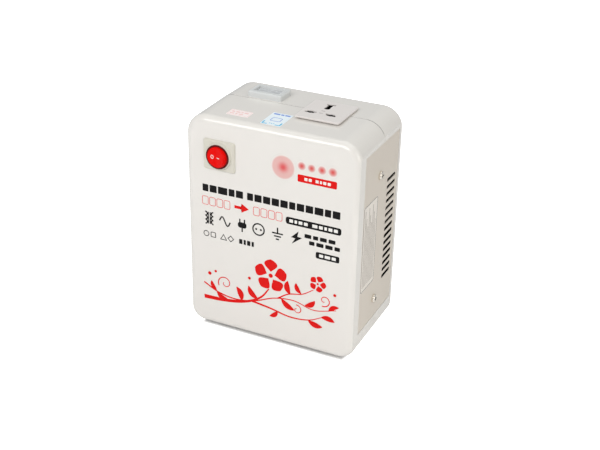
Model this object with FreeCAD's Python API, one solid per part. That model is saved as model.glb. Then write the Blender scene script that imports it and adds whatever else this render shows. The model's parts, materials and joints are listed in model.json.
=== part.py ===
import FreeCAD, Part
import math
import os

# A portable step-down voltage transformer: two moulded covers meet at mid-depth round a
# steel frame that carries a toroidal transformer, with a rocker switch in front and a
# multi-standard socket and a small voltmeter on top. Millimetres, X to the right, Y to the
# rear, Z up, with the origin under the middle of the body on the surface it stands on.

# Case
BODY_W = 183.0            # over the flat sides
BODY_D = 113.0
BODY_H = 234.0
SIDE_CROWN = 1.2          # how far the rounded outline would pass the flat sides
CORNER_R = 21.6
LOW_CORNER_R = 15.7
EDGE_R = 7.5
TOP_FALL = 1.7            # of the top, from the seam down to the front
WALL = 2.8
SIDE_WALL = 3.0
SEAM_Y = 5.5
SEAM_GAP = 0.1
SEAM_GROOVE_W = 0.6       # open to the outside
SEAM_GROOVE_DEPTH = 0.4
FOOT_H = 4.0
FOOT_R = 8.0
FOOT_STEM_R = 2.6
FOOT_BARB_R = 3.4
FOOT_BARB_H = 1.6
FOOT_EDGE = 0.6
FOOT_INSET_X = 33.0       # from the case's flat sides
FOOT_INSET_Y = 20.5

# Side panels and their slots
PANEL_T = 1.0
PANEL_SUNK = 0.25
PANEL_FRONT = 16.5        # from the case's front
PANEL_REAR = 9.5          # from its rear
PANEL_LOW = 23.0          # from its base
PANEL_HIGH = 20.0         # under its top
PANEL_GAP = 0.3
PANEL_LEDGE = 5.0
PANEL_CORNER_R = 1.0
SLOT_COUNT = 15
SLOT_PITCH = 7.76
SLOT_L = 22.0
SLOT_H = 3.9
SLOT_INSET_Y = 16.5       # middle of the slots, from the panel's rear edge
SLOT_DROP = 4.5           # middle of the column of slots, under the panel's
SIDE_SCREW_INSET_Y = 12.5  # behind the upright's face
SIDE_SCREW_INSET_Z = (22.4, 31.6)   # from the panel's lower and upper ends
LABEL_T = 0.15
LABEL_W = 34.5
LABEL_H = 94.0
LABEL_INSET_Y = 18.7      # its middle from the panel's front edge
LABEL_DROP = 3.1          # its middle under the panel's
LABEL_CORNER_R = 2.0

# Screws, as (thread radius, head radius, head height)
M4 = (2.0, 4.2, 2.3)
M3 = (1.5, 2.9, 1.9)
SIDE_SCREW = (2.0, 4.5, 3.0)
HOLE_GAP = 0.25
TAP_GAP = 0.02
SIDE_SCREW_L = 8.0
COVER_SCREW_L = 32.0
COVER_HEAD_Y = 22.0
BOSS_R = 5.6
BOSS_INSET_X = 18.0
BOSS_INSET_Z = 17.0
BOSS_ROOT = 0.5             # how far a boss runs into its wall

# Steel frame and base plate
STEEL_T = 1.5
UPRIGHT_INSET_Y = 42.5    # its front face behind the case's
UPRIGHT_Z0 = 29.0         # above the body's base, where the side flanges start
UPRIGHT_INSET_Z = 38.0    # its top under the body's top
FLANGE_D = 20.0
FOLD_D = 26.0             # bottom fold
FOLD_INSET = 10.0         # from the base plate's ends
BASE_INSET_X = 25.0       # from the body's sides, clear of the covers' round corners
BASE_INSET_Y = 11.5
BASE_SCREW_INSET_X = 24.0  # from the base plate's ends
BASE_SCREW_INSET_Y = 15.0
BASE_NUT_AF = 7.0
BASE_NUT_H = 3.2
SCREW_END = 1.0            # past its nut
FRAME_SCREW_INSET = 10.0  # from the fold's ends
NOTCH_W = 36.0             # in the upright's top edge, for the socket's leads
NOTCH_H = 18.0

# Toroidal transformer, its axis along Y
TOROID_Z = 78.0           # above the body's base
TOROID_R = 69.0           # over the tape
TOROID_ROOM_Y = 63.0      # what the case's depth leaves beside it
TOROID_HOLE_R = 21.0
TAPE_T = 0.6
WINDING_BUILD = 8.0
WINDING_BUILD_IN = 11.0
WINDING_EDGE_R = 7.0
LAYER_GAP = 0.05
PAD_T = 2.0
PAD_R = 60.0
DISH_R = 38.0
DISH_T = 2.0
DISH_DEPTH = 4.0
DISH_WELL_R = 17.0        # middle of its sloped wall
DISH_SLOPE = 3.0
BOLT_R = 4.0
BOLT_HEAD_AF = 13.0
BOLT_HEAD_H = 5.3
NUT_H = 6.5
SPRING_WASHER_T = 2.0
SPRING_WASHER_R = 7.2
SPRING_WASHER_SPLIT = 1.2
BOLT_END = 2.0             # past its nut
CUTOUT_L = 18.0
CUTOUT_W = 9.0
CUTOUT_H = 5.0
CUTOUT_OFF_Y = 0.5        # before the toroid's middle
CUTOUT_CORNER_R = 1.5

# Control board on the front of the upright
BOARD_W = 70.0
BOARD_H = 62.0
BOARD_T = 1.6
BOARD_INSET_X = 47.0      # its middle from the left side
BOARD_Z = 96.0
STANDOFF_L = 7.0
STANDOFF_R = 3.0
BOARD_HOLE_INSET = 4.5
RELAY = (28.0, 22.0, 16.0)     # X, Z, Y
RELAY_AT = (10.0, 12.0)        # from the board's middle, X and Z
RELAY_EDGE_R = 1.0
CAP_R = 5.0
CAP_L = 16.0
CAP_EDGE_R = 0.8
CAP_AT = (-20.0, 14.0)
CHIP = (18.0, 8.0, 4.0)
CHIP_AT = (-14.0, -6.0)
STRIP = (30.0, 10.0, 11.0)
STRIP_AT = (10.0, -20.0)
STRIP_WAYS = 4
STRIP_HOLE_R = 2.1
STRIP_HOLE_DEPTH = 2.5
TERMINAL_W = 46.0
TERMINAL_H = 18.0
TERMINAL_D = 16.0
TERMINAL_INSET_X = 49.0   # its middle from the right side
TERMINAL_Z = 40.0
TERMINAL_WAYS = 4
WIRE_HOLE_R = 1.8
WIRE_HOLE_INSET = 5.0     # in front of the upright
CLAMP_HOLE_R = 2.6
CLAMP_HOLE_DEPTH = 6.0
CLAMP_SCREW_R = 2.4
CLAMP_SCREW_SUNK = 1.5

# Multi-standard socket on top, as places of the faceplate's middle
SOCKET_INSET_X = 59.5
SOCKET_Y = 1.9
PLATE_W = 46.4
PLATE_D = 49.8
PLATE_T = 2.6
PLATE_SKIN = 0.9          # left over the socket's body
PLATE_EDGE = 0.4
PLATE_STEP = 1.4          # its foot stands back under the edge
PLATE_STEP_H = 1.1
PLATE_CORNER_R = 2.0
SOCKET_BODY_W = 41.0
SOCKET_BODY_D = 44.0
SOCKET_BODY_H = 26.0
SOCKET_FLOOR = 3.0
PIN_SPACING = 21.2
PIN_X = -2.7              # middle of the three openings, from the plate's middle
PIN_Y = -8.9              # line and neutral openings
EARTH_Y = 11.6
PIN_SLOT_L = 8.0
PIN_SLOT_W = 5.0
PIN_ROUND_R = 3.1
SLANT_L = 12.0
SLANT_W = 3.0
SLANT_TURN = 12
EARTH_SLOT_L = 11.0
EARTH_ROUND_Y = -5.1
EARTH_SLANT_L = 9.0
EARTH_SLANT_Y = 5.1
EARTH_SLANT_TURN = 10
WELL_W = 12.4
WELL_D = 9.0
EARTH_WELL_W = 11.0
EARTH_WELL_D = 17.0
CONTACT_T = 0.8
CONTACT_LEAF_W = 5.0
CONTACT_GAP = 0.3
CONTACT_DROP = 5.5        # from the plate's underside to the top of a contact

# Voltmeter on top, behind the seam
METER_INSET_X = 52.0      # from the left side
METER_Y = 20.5
METER_W = 37.0
METER_D = 24.0
METER_H = 6.0
METER_CORNER_R = 1.5
METER_EDGE = 1.2
METER_SKIRT_W = 33.0
METER_SKIRT_D = 19.0
METER_SKIRT_H = 9.0
METER_WALL = 1.8
WINDOW_W = 28.0
WINDOW_D = 14.5
WINDOW_T = 1.2
WINDOW_SUNK = 2.0
DIGITS_W = 22.0
DIGITS_D = 10.0
DIGITS_H = 5.0
METER_BOARD_T = 1.2

# Rocker switch in the front cover, as places of its middle
SWITCH_INSET_X = 37.1     # from the left side
SWITCH_INSET_Z = 39.4     # under the body's top
BEZEL_W = 34.4
BEZEL_H = 31.5
BEZEL_T = 2.2
BEZEL_CORNER_R = 2.5
BEZEL_EDGE = 1.2
COLLAR_R = 15.0
COLLAR_TOP_R = 13.4
COLLAR_H = 4.2            # from the cover's face
BARREL_R = 11.9
BARREL_GAP = 0.15
SWITCH_RING_R = 12.4
SWITCH_RING_T = 1.0
SWITCH_RING_EDGE_R = 0.4
SWITCH_BORE_R = 11.05
SWITCH_BODY_L = 21.0      # from the ring's front to the back
SWITCH_BACK_T = 3.0
SWITCH_NUT_T = 3.0
SWITCH_NUT_R = 16.0
ROCKER_R = 10.8
ROCKER_THROW = 22.0       # degrees, from one end pressed to the other
ROCKER_PIVOT = 2.0        # under the ring's front
ROCKER_CREST = 2.9        # the middle of its top above the pivot
ROCKER_DISH_R = 60.0
ROCKER_SKIRT = 5.5
ROCKER_WALL = 1.6
ROCKER_ROOF = 2.2          # thickness at the crest
PIN_R = 1.1
PIN_CLEARANCE = 0.05
PIN_END_GAP = 0.2
PLUNGER_R = 1.5
PLUNGER_BOSS_R = 2.9
PLUNGER_L = 2.2            # held in the rocker's boss
BORE_TOP = 0.4             # the boss's bore starts so far behind the pivot
SPRING_WIRE_R = 0.22
SPRING_TURNS = 4
SPRING_GAP = 0.05
PLUNGER_LIFT = 0.25       # from the plunger's tip to the contact
CONTACT_W = 3.4
SEESAW_T = 0.8
SEESAW_L = 12.5
SEESAW_THROW = 16.0
SEESAW_PIVOT = 5.6        # above the inside of the switch's back
SEESAW_GAP = 0.15         # over the tab that carries it and the tabs that it meets
TAB_W = 4.8
TAB_T = 0.8
TAB_L = 8.0
TAB_X = 6.2
LAMP_R = 1.4
LAMP_L = 6.0
LAMP_Z = 5.6

# Cord gland low on the rear, as places of its middle
GLAND_INSET_X = 33.0      # from the right side
GLAND_Z = 30.0
GLAND_BORE_R = 4.2
GLAND_THREAD_R = 8.0
GLAND_FLANGE_R = 11.0
GLAND_FLANGE_T = 3.0
GLAND_NOSE_R = 8.0
GLAND_NOSE_L = 4.5
GLAND_TAPER = 1.5
GLAND_INSIDE_L = 9.0
LOCKNUT_AF = 22.0
LOCKNUT_T = 4.0

# Small stickers on top
STICKER_T = 0.15
STICKER_CORNER_R = 1.0
LONG_STICKER = (75.6, 21.6, 23.5, 13.5)       # left of the socket, behind the front, W, D
WIDE_STICKER = (36.7, 23.7, 21.5, 30.0)

# Leads inside the case
LEAD_R = 1.1
LEAD_BEND_R = 6.0
LEAD_OFF = 6.0            # clear of what a lead passes
LEAD_PITCH = 4.0
LEAD_END = 14.0           # straight run at a terminal
LEAD_FALL = 34.0
LEAD_RISE = 55.0
WINDING_EXIT_X = (-20.0, -8.0)
WINDING_EXIT_Y = 8.0      # before the toroid's middle
WINDING_TOP_X = (-12.0, -5.0)
WINDING_FALL_Y = 20.0
WINDING_FALL = 56.0

base_z = FOOT_H
top_z = FOOT_H + BODY_H
front_y = -BODY_D / 2
rear_y = BODY_D / 2
floor_z = base_z + WALL
side_x = BODY_W / 2
foot_x = side_x - FOOT_INSET_X
foot_y = BODY_D / 2 - FOOT_INSET_Y
panel_d = BODY_D - PANEL_FRONT - PANEL_REAR
panel_h = BODY_H - PANEL_LOW - PANEL_HIGH
boss_x = side_x - BOSS_INSET_X
base_w = BODY_W - 2 * BASE_INSET_X
base_d = BODY_D - 2 * BASE_INSET_Y
base_screw_x = base_w / 2 - BASE_SCREW_INSET_X
base_screw_y = base_d / 2 - BASE_SCREW_INSET_Y
fold_w = base_w - 2 * FOLD_INSET
frame_screw_x = fold_w / 2 - FRAME_SCREW_INSET
upright_h = BODY_H - UPRIGHT_INSET_Z - UPRIGHT_Z0
board_x = -side_x + BOARD_INSET_X
terminal_x = side_x - TERMINAL_INSET_X
socket_x = side_x - SOCKET_INSET_X
meter_x = -side_x + METER_INSET_X
switch_x = -side_x + SWITCH_INSET_X
gland_x = side_x - GLAND_INSET_X
panel_out_x = side_x - PANEL_SUNK
panel_in_x = panel_out_x - PANEL_T
panel_y = front_y + PANEL_FRONT + panel_d / 2
panel_z = base_z + PANEL_LOW + panel_h / 2
window_d = panel_d - 2 * PANEL_LEDGE
window_h = panel_h - 2 * PANEL_LEDGE
base_top_z = floor_z + STEEL_T
upright_y = front_y + UPRIGHT_INSET_Y
upright_back_y = upright_y + STEEL_T
side_screw_y = upright_y + SIDE_SCREW_INSET_Y
slot_y = panel_y + panel_d / 2 - SLOT_INSET_Y
slot_z = panel_z - SLOT_DROP
label_y = panel_y - panel_d / 2 + LABEL_INSET_Y
label_z = panel_z - LABEL_DROP
fall_turn = math.degrees(math.atan2(TOP_FALL, SEAM_Y - front_y))
toroid_l = BODY_D - TOROID_ROOM_Y
toroid_z = base_z + TOROID_Z
toroid_y = upright_back_y + PAD_T + toroid_l / 2
switch_z = top_z - SWITCH_INSET_Z
ring_y = front_y - COLLAR_H - SWITCH_RING_T
pivot_y = ring_y + ROCKER_PIVOT
inside_back_y = ring_y + SWITCH_BODY_L - SWITCH_BACK_T
gland_z = base_z + GLAND_Z


def vec(x, y, z):
    return FreeCAD.Vector(x, y, z)


def box(x0, x1, y0, y1, z0, z1):
    return Part.makeBox(x1 - x0, y1 - y0, z1 - z0, vec(x0, y0, z0))


def block(x, y, z, w, d, h):
    """A box from the middle of its underside."""
    return box(x - w / 2, x + w / 2, y - d / 2, y + d / 2, z, z + h)


def rod_y(x, z, y0, y1, r):
    return Part.makeCylinder(r, y1 - y0, vec(x, y0, z), vec(0, 1, 0))


def rod_z(x, y, z0, z1, r):
    return Part.makeCylinder(r, z1 - z0, vec(x, y, z0), vec(0, 0, 1))


def rod_x(y, z, x0, x1, r):
    return Part.makeCylinder(r, x1 - x0, vec(x0, y, z), vec(1, 0, 0))


def cone_y(x, z, y0, y1, r0, r1):
    return Part.makeCone(r0, r1, y1 - y0, vec(x, y0, z), vec(0, 1, 0))


def rounded_plate(x, y, z, w, d, h, r):
    """A plate on Z with its four upright edges rounded."""
    plate = block(x, y, z, w, d, h)
    upright = [e for e in plate.Edges if abs(e.BoundBox.ZLength - h) < 1e-6]
    return plate.makeFillet(r, upright)


def hexagon_y(x, z, y0, y1, across):
    r = across / 2 / math.cos(math.pi / 6)
    corners = [vec(x + r * math.cos(math.radians(a)), y0, z + r * math.sin(math.radians(a)))
               for a in range(0, 361, 60)]
    return Part.Face(Part.makePolygon(corners)).extrude(vec(0, y1 - y0, 0))


def turned_y(x, z, profile):
    """A solid turned about an axis on Y, from a closed list of (radius, y)."""
    points = [vec(x + r, y, z) for r, y in profile]
    face = Part.Face(Part.makePolygon(points + points[:1]))
    return face.revolve(vec(x, 0, z), vec(0, 1, 0), 360)


def hold(name, shape):
    """Write one node, as a single solid or as a group of separate ones."""
    solids = shape.Solids
    out = solids[0] if len(solids) == 1 else Part.makeCompound(solids)
    out.exportStep("parts/" + name + ".step")


def outline(inset, y, fall=0.0):
    """The case's rounded outline at one depth, set in by a distance, its top let down."""
    x = side_x + SIDE_CROWN - inset
    z0 = base_z + inset
    z1 = top_z - inset - fall
    high = CORNER_R - inset
    low = LOW_CORNER_R - inset
    bend = 1 - math.sqrt(0.5)
    edges = []
    for s in (-1, 1):
        tip = vec(s * (x - high * bend), y, z1 - high * bend)
        edges.append(Part.Arc(vec(s * (x - high), y, z1), tip, vec(s * x, y, z1 - high)).toShape())
        toe = vec(s * (x - low * bend), y, z0 + low * bend)
        edges.append(Part.Arc(vec(s * x, y, z0 + low), toe, vec(s * (x - low), y, z0)).toShape())
        edges.append(Part.makeLine(vec(s * x, y, z1 - high), vec(s * x, y, z0 + low)))
    edges.append(Part.makeLine(vec(low - x, y, z0), vec(x - low, y, z0)))
    edges.append(Part.makeLine(vec(high - x, y, z1), vec(x - high, y, z1)))
    return Part.Wire(Part.__sortEdges__(edges))


def outline_block(inset, y0, y1, edge_r):
    """A body on the outline, its top falling to the front, with its end faces' edges rounded."""
    parts = []
    for end_y, fall in ((y0, TOP_FALL), (y1, 0.0)):
        part = Part.makeLoft([outline(inset, SEAM_Y), outline(inset, end_y, fall)], True, True)
        rims = [e for e in part.Edges
                if abs(e.BoundBox.YMin - end_y) < 1e-6 and e.BoundBox.YLength < 1e-6]
        parts.append(part.makeFillet(edge_r, rims))
    return parts[0].fuse(parts[1])


def pan_head(at, out, length, size):
    """A cross-recessed pan-head screw: its head's underside at a point, facing the way out."""
    thread_r, head_r, head_h = size
    shank = Part.makeCylinder(thread_r, length, at, out * -1)
    head = Part.makeCylinder(head_r, head_h, at, out)
    rim = [e for e in head.Edges if (e.CenterOfMass - at).dot(out) > head_h / 2 and e.Closed]
    head = head.makeFillet(head_h * 0.55, rim[:1])
    side = out.cross(vec(0, 0, 1) if abs(out.z) < 0.5 else vec(0, 1, 0))
    other = out.cross(side)
    recess_l = head_r * 1.1
    recess_w = head_r * 0.28
    top = at + out * (head_h + 0.1)
    for a, b in ((side, other), (other, side)):
        corner = top - a * (recess_l / 2) - b * (recess_w / 2) - out * (head_h * 0.6)
        points = [corner, corner + a * recess_l, corner + a * recess_l + b * recess_w,
                  corner + b * recess_w, corner]
        head = head.cut(Part.Face(Part.makePolygon(points)).extrude(out * head_h))
    return shank.fuse(head)


def lead(points, r=LEAD_R, bend=LEAD_BEND_R):
    """A round lead on straight runs joined by tangent arcs."""
    pts = [vec(*p) for p in points]
    edges = []
    start = pts[0]
    for before, corner, after in zip(pts, pts[1:], pts[2:]):
        a = (before - corner).normalize()
        b = (after - corner).normalize()
        half = a.getAngle(b) / 2
        run = min((before - corner).Length, (after - corner).Length) * 0.45
        cut = min(bend / math.tan(half), run)
        radius = cut * math.tan(half)
        p = corner + a * cut
        q = corner + b * cut
        middle = corner + (a + b).normalize() * (radius / math.sin(half) - radius)
        edges.append(Part.LineSegment(start, p).toShape())
        edges.append(Part.Arc(p, middle, q).toShape())
        start = q
    edges.append(Part.LineSegment(start, pts[-1]).toShape())
    path = Part.Wire(edges)
    way = (pts[1] - pts[0]).normalize()
    ring = Part.Wire([Part.Circle(pts[0], way, r).toShape()])
    return path.makePipeShell([ring], True, True)


def seam_groove():
    """The open groove round the case where the covers meet."""
    half = SEAM_GROOVE_W / 2
    depth = SEAM_GROOVE_DEPTH
    band = box(-BODY_W, BODY_W, SEAM_Y - half, SEAM_Y + half, base_z - 1, top_z + 1)
    kept = Part.Face(outline(depth, SEAM_Y - 1)).extrude(vec(0, 2, 0))
    kept = kept.common(box(depth - side_x, side_x - depth, SEAM_Y - 1, SEAM_Y + 1, base_z, top_z))
    return band.cut(kept)


def side_screw_places():
    low, high = SIDE_SCREW_INSET_Z
    return [(side_screw_y, panel_z - panel_h / 2 + low), (side_screw_y, panel_z + panel_h / 2 - high)]


def boss_places():
    return [(sx * boss_x, z) for sx in (-1, 1)
            for z in (base_z + BOSS_INSET_Z, top_z - BOSS_INSET_Z)]


def foot_places():
    return [(sx * foot_x, sy * foot_y) for sx in (-1, 1) for sy in (-1, 1)]


def base_screw_places():
    return [(sx * base_screw_x, sy * base_screw_y) for sx in (-1, 1) for sy in (-1, 1)]


def base_screw(x, y, grow=0.0):
    """A countersunk screw from under the case's floor."""
    thread_r, head_r, head_h = M4
    head = Part.makeCone(head_r + grow, thread_r + grow, head_h, vec(x, y, base_z), vec(0, 0, 1))
    end_z = base_top_z + BASE_NUT_H + SCREW_END
    return head.fuse(rod_z(x, y, base_z + head_h - 0.01, end_z, thread_r + grow))


def case_shell():
    """Both covers as one hollow body, with every opening that crosses the seam."""
    slab = box(-side_x, side_x, front_y, rear_y, base_z, top_z)
    outer = outline_block(0.0, front_y, rear_y, EDGE_R).common(slab)
    hollow = outline_block(WALL, front_y + WALL, rear_y - WALL, EDGE_R - WALL)
    inner_x = side_x - SIDE_WALL
    hollow = hollow.common(box(-inner_x, inner_x, front_y, rear_y, base_z, top_z))
    shell = outer.cut(hollow)
    for sx in (-1, 1):
        seat_d = panel_d + 2 * PANEL_GAP
        seat_h = panel_h + 2 * PANEL_GAP
        x0, x1 = sorted((sx * panel_in_x, sx * (side_x + 1)))
        shell = shell.cut(box(x0, x1, panel_y - seat_d / 2, panel_y + seat_d / 2,
                              panel_z - seat_h / 2, panel_z + seat_h / 2))
        x0, x1 = sorted((sx * (inner_x - 1), sx * (side_x + 1)))
        shell = shell.cut(box(x0, x1, panel_y - window_d / 2, panel_y + window_d / 2,
                              panel_z - window_h / 2, panel_z + window_h / 2))
    shell = shell.cut(block(socket_x, SOCKET_Y, top_z - WALL - 1, SOCKET_BODY_W + 2 * HOLE_GAP,
                            SOCKET_BODY_D + 2 * HOLE_GAP, WALL + 2))
    shell = shell.cut(block(meter_x, METER_Y, top_z - WALL - 1, METER_SKIRT_W + 2 * HOLE_GAP,
                            METER_SKIRT_D + 2 * HOLE_GAP, WALL + 2))
    for x, y in base_screw_places():
        shell = shell.cut(base_screw(x, y, HOLE_GAP))
    for x, y in foot_places():
        shell = shell.cut(rod_z(x, y, base_z - 1, floor_z + 1, FOOT_STEM_R + LAYER_GAP))
    return shell.cut(seam_groove())


def covers():
    shell = case_shell()
    half = SEAM_GAP / 2
    wide = BODY_W
    front = shell.common(box(-wide, wide, front_y, SEAM_Y - half, base_z, top_z))
    rear = shell.common(box(-wide, wide, SEAM_Y + half, rear_y, base_z, top_z))
    thread_r, head_r, head_h = M4
    for x, z in boss_places():
        front = front.fuse(rod_y(x, z, front_y + WALL - BOSS_ROOT, SEAM_Y - half, BOSS_R))
        rear = rear.fuse(rod_y(x, z, SEAM_Y + half, rear_y - WALL + BOSS_ROOT, BOSS_R))
        front = front.cut(rod_y(x, z, COVER_HEAD_Y - COVER_SCREW_L - 1, SEAM_Y, thread_r + TAP_GAP))
        rear = rear.cut(rod_y(x, z, SEAM_Y, COVER_HEAD_Y, thread_r + HOLE_GAP))
        rear = rear.cut(rod_y(x, z, COVER_HEAD_Y, rear_y + 1, head_r + HOLE_GAP))
    front = front.cut(rod_y(switch_x, switch_z, front_y - 1, front_y + WALL + 1, COLLAR_TOP_R))
    rear = rear.cut(rod_y(gland_x, gland_z, rear_y - WALL - 1, rear_y + 1,
                          GLAND_THREAD_R + LAYER_GAP))
    hold("front_cover", front)
    hold("rear_cover", rear)


def cover_screws():
    screws = [pan_head(vec(x, COVER_HEAD_Y, z), vec(0, 1, 0), COVER_SCREW_L, M4)
              for x, z in boss_places()]
    hold("cover_screws", Part.makeCompound(screws))


def side_panel(sx):
    x0, x1 = sorted((sx * panel_in_x, sx * panel_out_x))
    panel = box(x0, x1, panel_y - panel_d / 2, panel_y + panel_d / 2,
                panel_z - panel_h / 2, panel_z + panel_h / 2)
    corners = [e for e in panel.Edges if abs(e.BoundBox.XLength - PANEL_T) < 1e-6]
    panel = panel.makeFillet(PANEL_CORNER_R, corners)
    first = slot_z - (SLOT_COUNT - 1) / 2 * SLOT_PITCH
    straight = SLOT_L - SLOT_H
    for k in range(SLOT_COUNT):
        z = first + k * SLOT_PITCH
        slot = box(x0 - 1, x1 + 1, slot_y - straight / 2, slot_y + straight / 2,
                   z - SLOT_H / 2, z + SLOT_H / 2)
        for end in (-1, 1):
            slot = slot.fuse(rod_x(slot_y + end * straight / 2, z, x0 - 1, x1 + 1, SLOT_H / 2))
        panel = panel.cut(slot)
    for y, z in side_screw_places():
        panel = panel.cut(rod_x(y, z, x0 - 1, x1 + 1, SIDE_SCREW[0] + HOLE_GAP))
    return panel


def side_panels():
    hold("right_side_panel", side_panel(1))
    hold("left_side_panel", side_panel(-1))
    screws = [pan_head(vec(sx * panel_out_x, y, z), vec(sx, 0, 0), SIDE_SCREW_L, SIDE_SCREW)
              for sx in (-1, 1) for y, z in side_screw_places()]
    hold("side_panel_screws", Part.makeCompound(screws))
    label = box(panel_out_x, panel_out_x + LABEL_T, label_y - LABEL_W / 2, label_y + LABEL_W / 2,
                label_z - LABEL_H / 2, label_z + LABEL_H / 2)
    corners = [e for e in label.Edges if abs(e.BoundBox.XLength - LABEL_T) < 1e-6]
    hold("rating_label", label.makeFillet(LABEL_CORNER_R, corners))


def base_and_feet():
    plate = block(0, 0, floor_z, base_w, base_d, STEEL_T)
    for x, y in base_screw_places():
        plate = plate.cut(rod_z(x, y, floor_z - 1, base_top_z + 1, M4[0] + HOLE_GAP))
    for x, y in foot_places():
        plate = plate.cut(rod_z(x, y, floor_z - 1, base_top_z + 1, FOOT_STEM_R + LAYER_GAP))
    for x in (-frame_screw_x, frame_screw_x):
        plate = plate.cut(rod_z(x, upright_back_y + FOLD_D / 2, floor_z - 1, base_top_z + 1,
                                M4[0] + TAP_GAP))
    hold("base_plate", plate)
    hold("base_screws", Part.makeCompound([base_screw(x, y) for x, y in base_screw_places()]))
    nuts = []
    for x, y in base_screw_places():
        nut = hexagon_y(0, 0, 0, BASE_NUT_H, BASE_NUT_AF)
        nut.rotate(vec(0, 0, 0), vec(1, 0, 0), 90)
        nut.translate(vec(x, y, base_top_z))
        nuts.append(nut.cut(rod_z(x, y, base_top_z - 1, base_top_z + BASE_NUT_H + 1,
                                  M4[0] + TAP_GAP)))
    hold("base_nuts", Part.makeCompound(nuts))
    feet = []
    for x, y in foot_places():
        foot = rod_z(x, y, 0, base_z, FOOT_R)
        foot = foot.makeChamfer(FOOT_EDGE, [e for e in foot.Edges if e.Closed and e.BoundBox.ZMax < 0.1])
        stem = rod_z(x, y, base_z - 0.1, base_top_z, FOOT_STEM_R)
        barb = Part.makeCone(FOOT_BARB_R, FOOT_STEM_R - FOOT_EDGE, FOOT_BARB_H, vec(x, y, base_top_z),
                             vec(0, 0, 1))
        feet.append(foot.fuse(stem).fuse(barb))
    hold("rubber_feet", Part.makeCompound(feet))


def upright_frame():
    """One folded sheet: upright, two side flanges for the panels' screws, a fold on the base."""
    z0 = base_z + UPRIGHT_Z0
    z1 = z0 + upright_h
    sheet = box(-panel_in_x, panel_in_x, upright_y, upright_back_y, z0, z1)
    for sx in (-1, 1):
        x0, x1 = sorted((sx * (panel_in_x - STEEL_T), sx * panel_in_x))
        flange = box(x0, x1, upright_y, upright_y + FLANGE_D, z0, z1)
        sheet = sheet.fuse(flange)
    sheet = sheet.fuse(box(-fold_w / 2, fold_w / 2, upright_y, upright_back_y, base_top_z, z0 + 1))
    sheet = sheet.fuse(box(-fold_w / 2, fold_w / 2, upright_y, upright_back_y + FOLD_D,
                           base_top_z, base_top_z + STEEL_T))
    for y, z in side_screw_places():
        sheet = sheet.cut(rod_x(y, z, -side_x, side_x, SIDE_SCREW[0] + TAP_GAP))
    sheet = sheet.cut(rod_y(0, toroid_z, upright_y - 1, upright_back_y + 1, BOLT_R + HOLE_GAP))
    for x, z in board_holes():
        sheet = sheet.cut(rod_y(x, z, upright_y - 1, upright_back_y + 1, M3[0] + TAP_GAP))
    for x in (-frame_screw_x, frame_screw_x):
        sheet = sheet.cut(rod_z(x, upright_back_y + FOLD_D / 2, base_top_z - 1,
                                base_top_z + STEEL_T + 1, M4[0] + HOLE_GAP))
    notch = box(socket_x - NOTCH_W / 2, socket_x + NOTCH_W / 2, upright_y - 1,
                upright_back_y + 1, z1 - NOTCH_H, z1 + 1)
    hold("upright_frame", sheet.cut(notch).removeSplitter())
    screws = [pan_head(vec(x, upright_back_y + FOLD_D / 2, base_top_z + STEEL_T), vec(0, 0, 1),
                       STEEL_T * 2, M4)
              for x in (-frame_screw_x, frame_screw_x)]
    hold("frame_screws", Part.makeCompound(screws))


def ring_solid(r_in, r_out, length, edge_r):
    """A ring about the toroid's axis with its four rims rounded."""
    half = length / 2
    ring = rod_y(0, toroid_z, toroid_y - half, toroid_y + half, r_out)
    ring = ring.cut(rod_y(0, toroid_z, toroid_y - half - 1, toroid_y + half + 1, r_in))
    if edge_r:
        rims = [e for e in ring.Edges if e.Closed and e.BoundBox.YLength < 1e-6]
        ring = ring.makeFillet(edge_r, rims)
    return ring


def toroid():
    skin = ring_solid(TOROID_HOLE_R, TOROID_R, toroid_l, WINDING_EDGE_R)
    lay = TAPE_T + LAYER_GAP
    under = ring_solid(TOROID_HOLE_R + TAPE_T, TOROID_R - TAPE_T, toroid_l - 2 * TAPE_T,
                       WINDING_EDGE_R - TAPE_T)
    copper = ring_solid(TOROID_HOLE_R + lay, TOROID_R - lay, toroid_l - 2 * lay,
                        WINDING_EDGE_R - lay)
    core_in = TOROID_HOLE_R + lay + WINDING_BUILD_IN
    core_out = TOROID_R - lay - WINDING_BUILD
    core_l = toroid_l - 2 * (lay + WINDING_BUILD)
    space = ring_solid(core_in - LAYER_GAP, core_out + LAYER_GAP, core_l + 2 * LAYER_GAP, 0)
    hold("toroid_tape", skin.cut(under))
    hold("toroid_winding", copper.cut(space))
    hold("toroid_core", ring_solid(core_in, core_out, core_l, 0))


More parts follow.
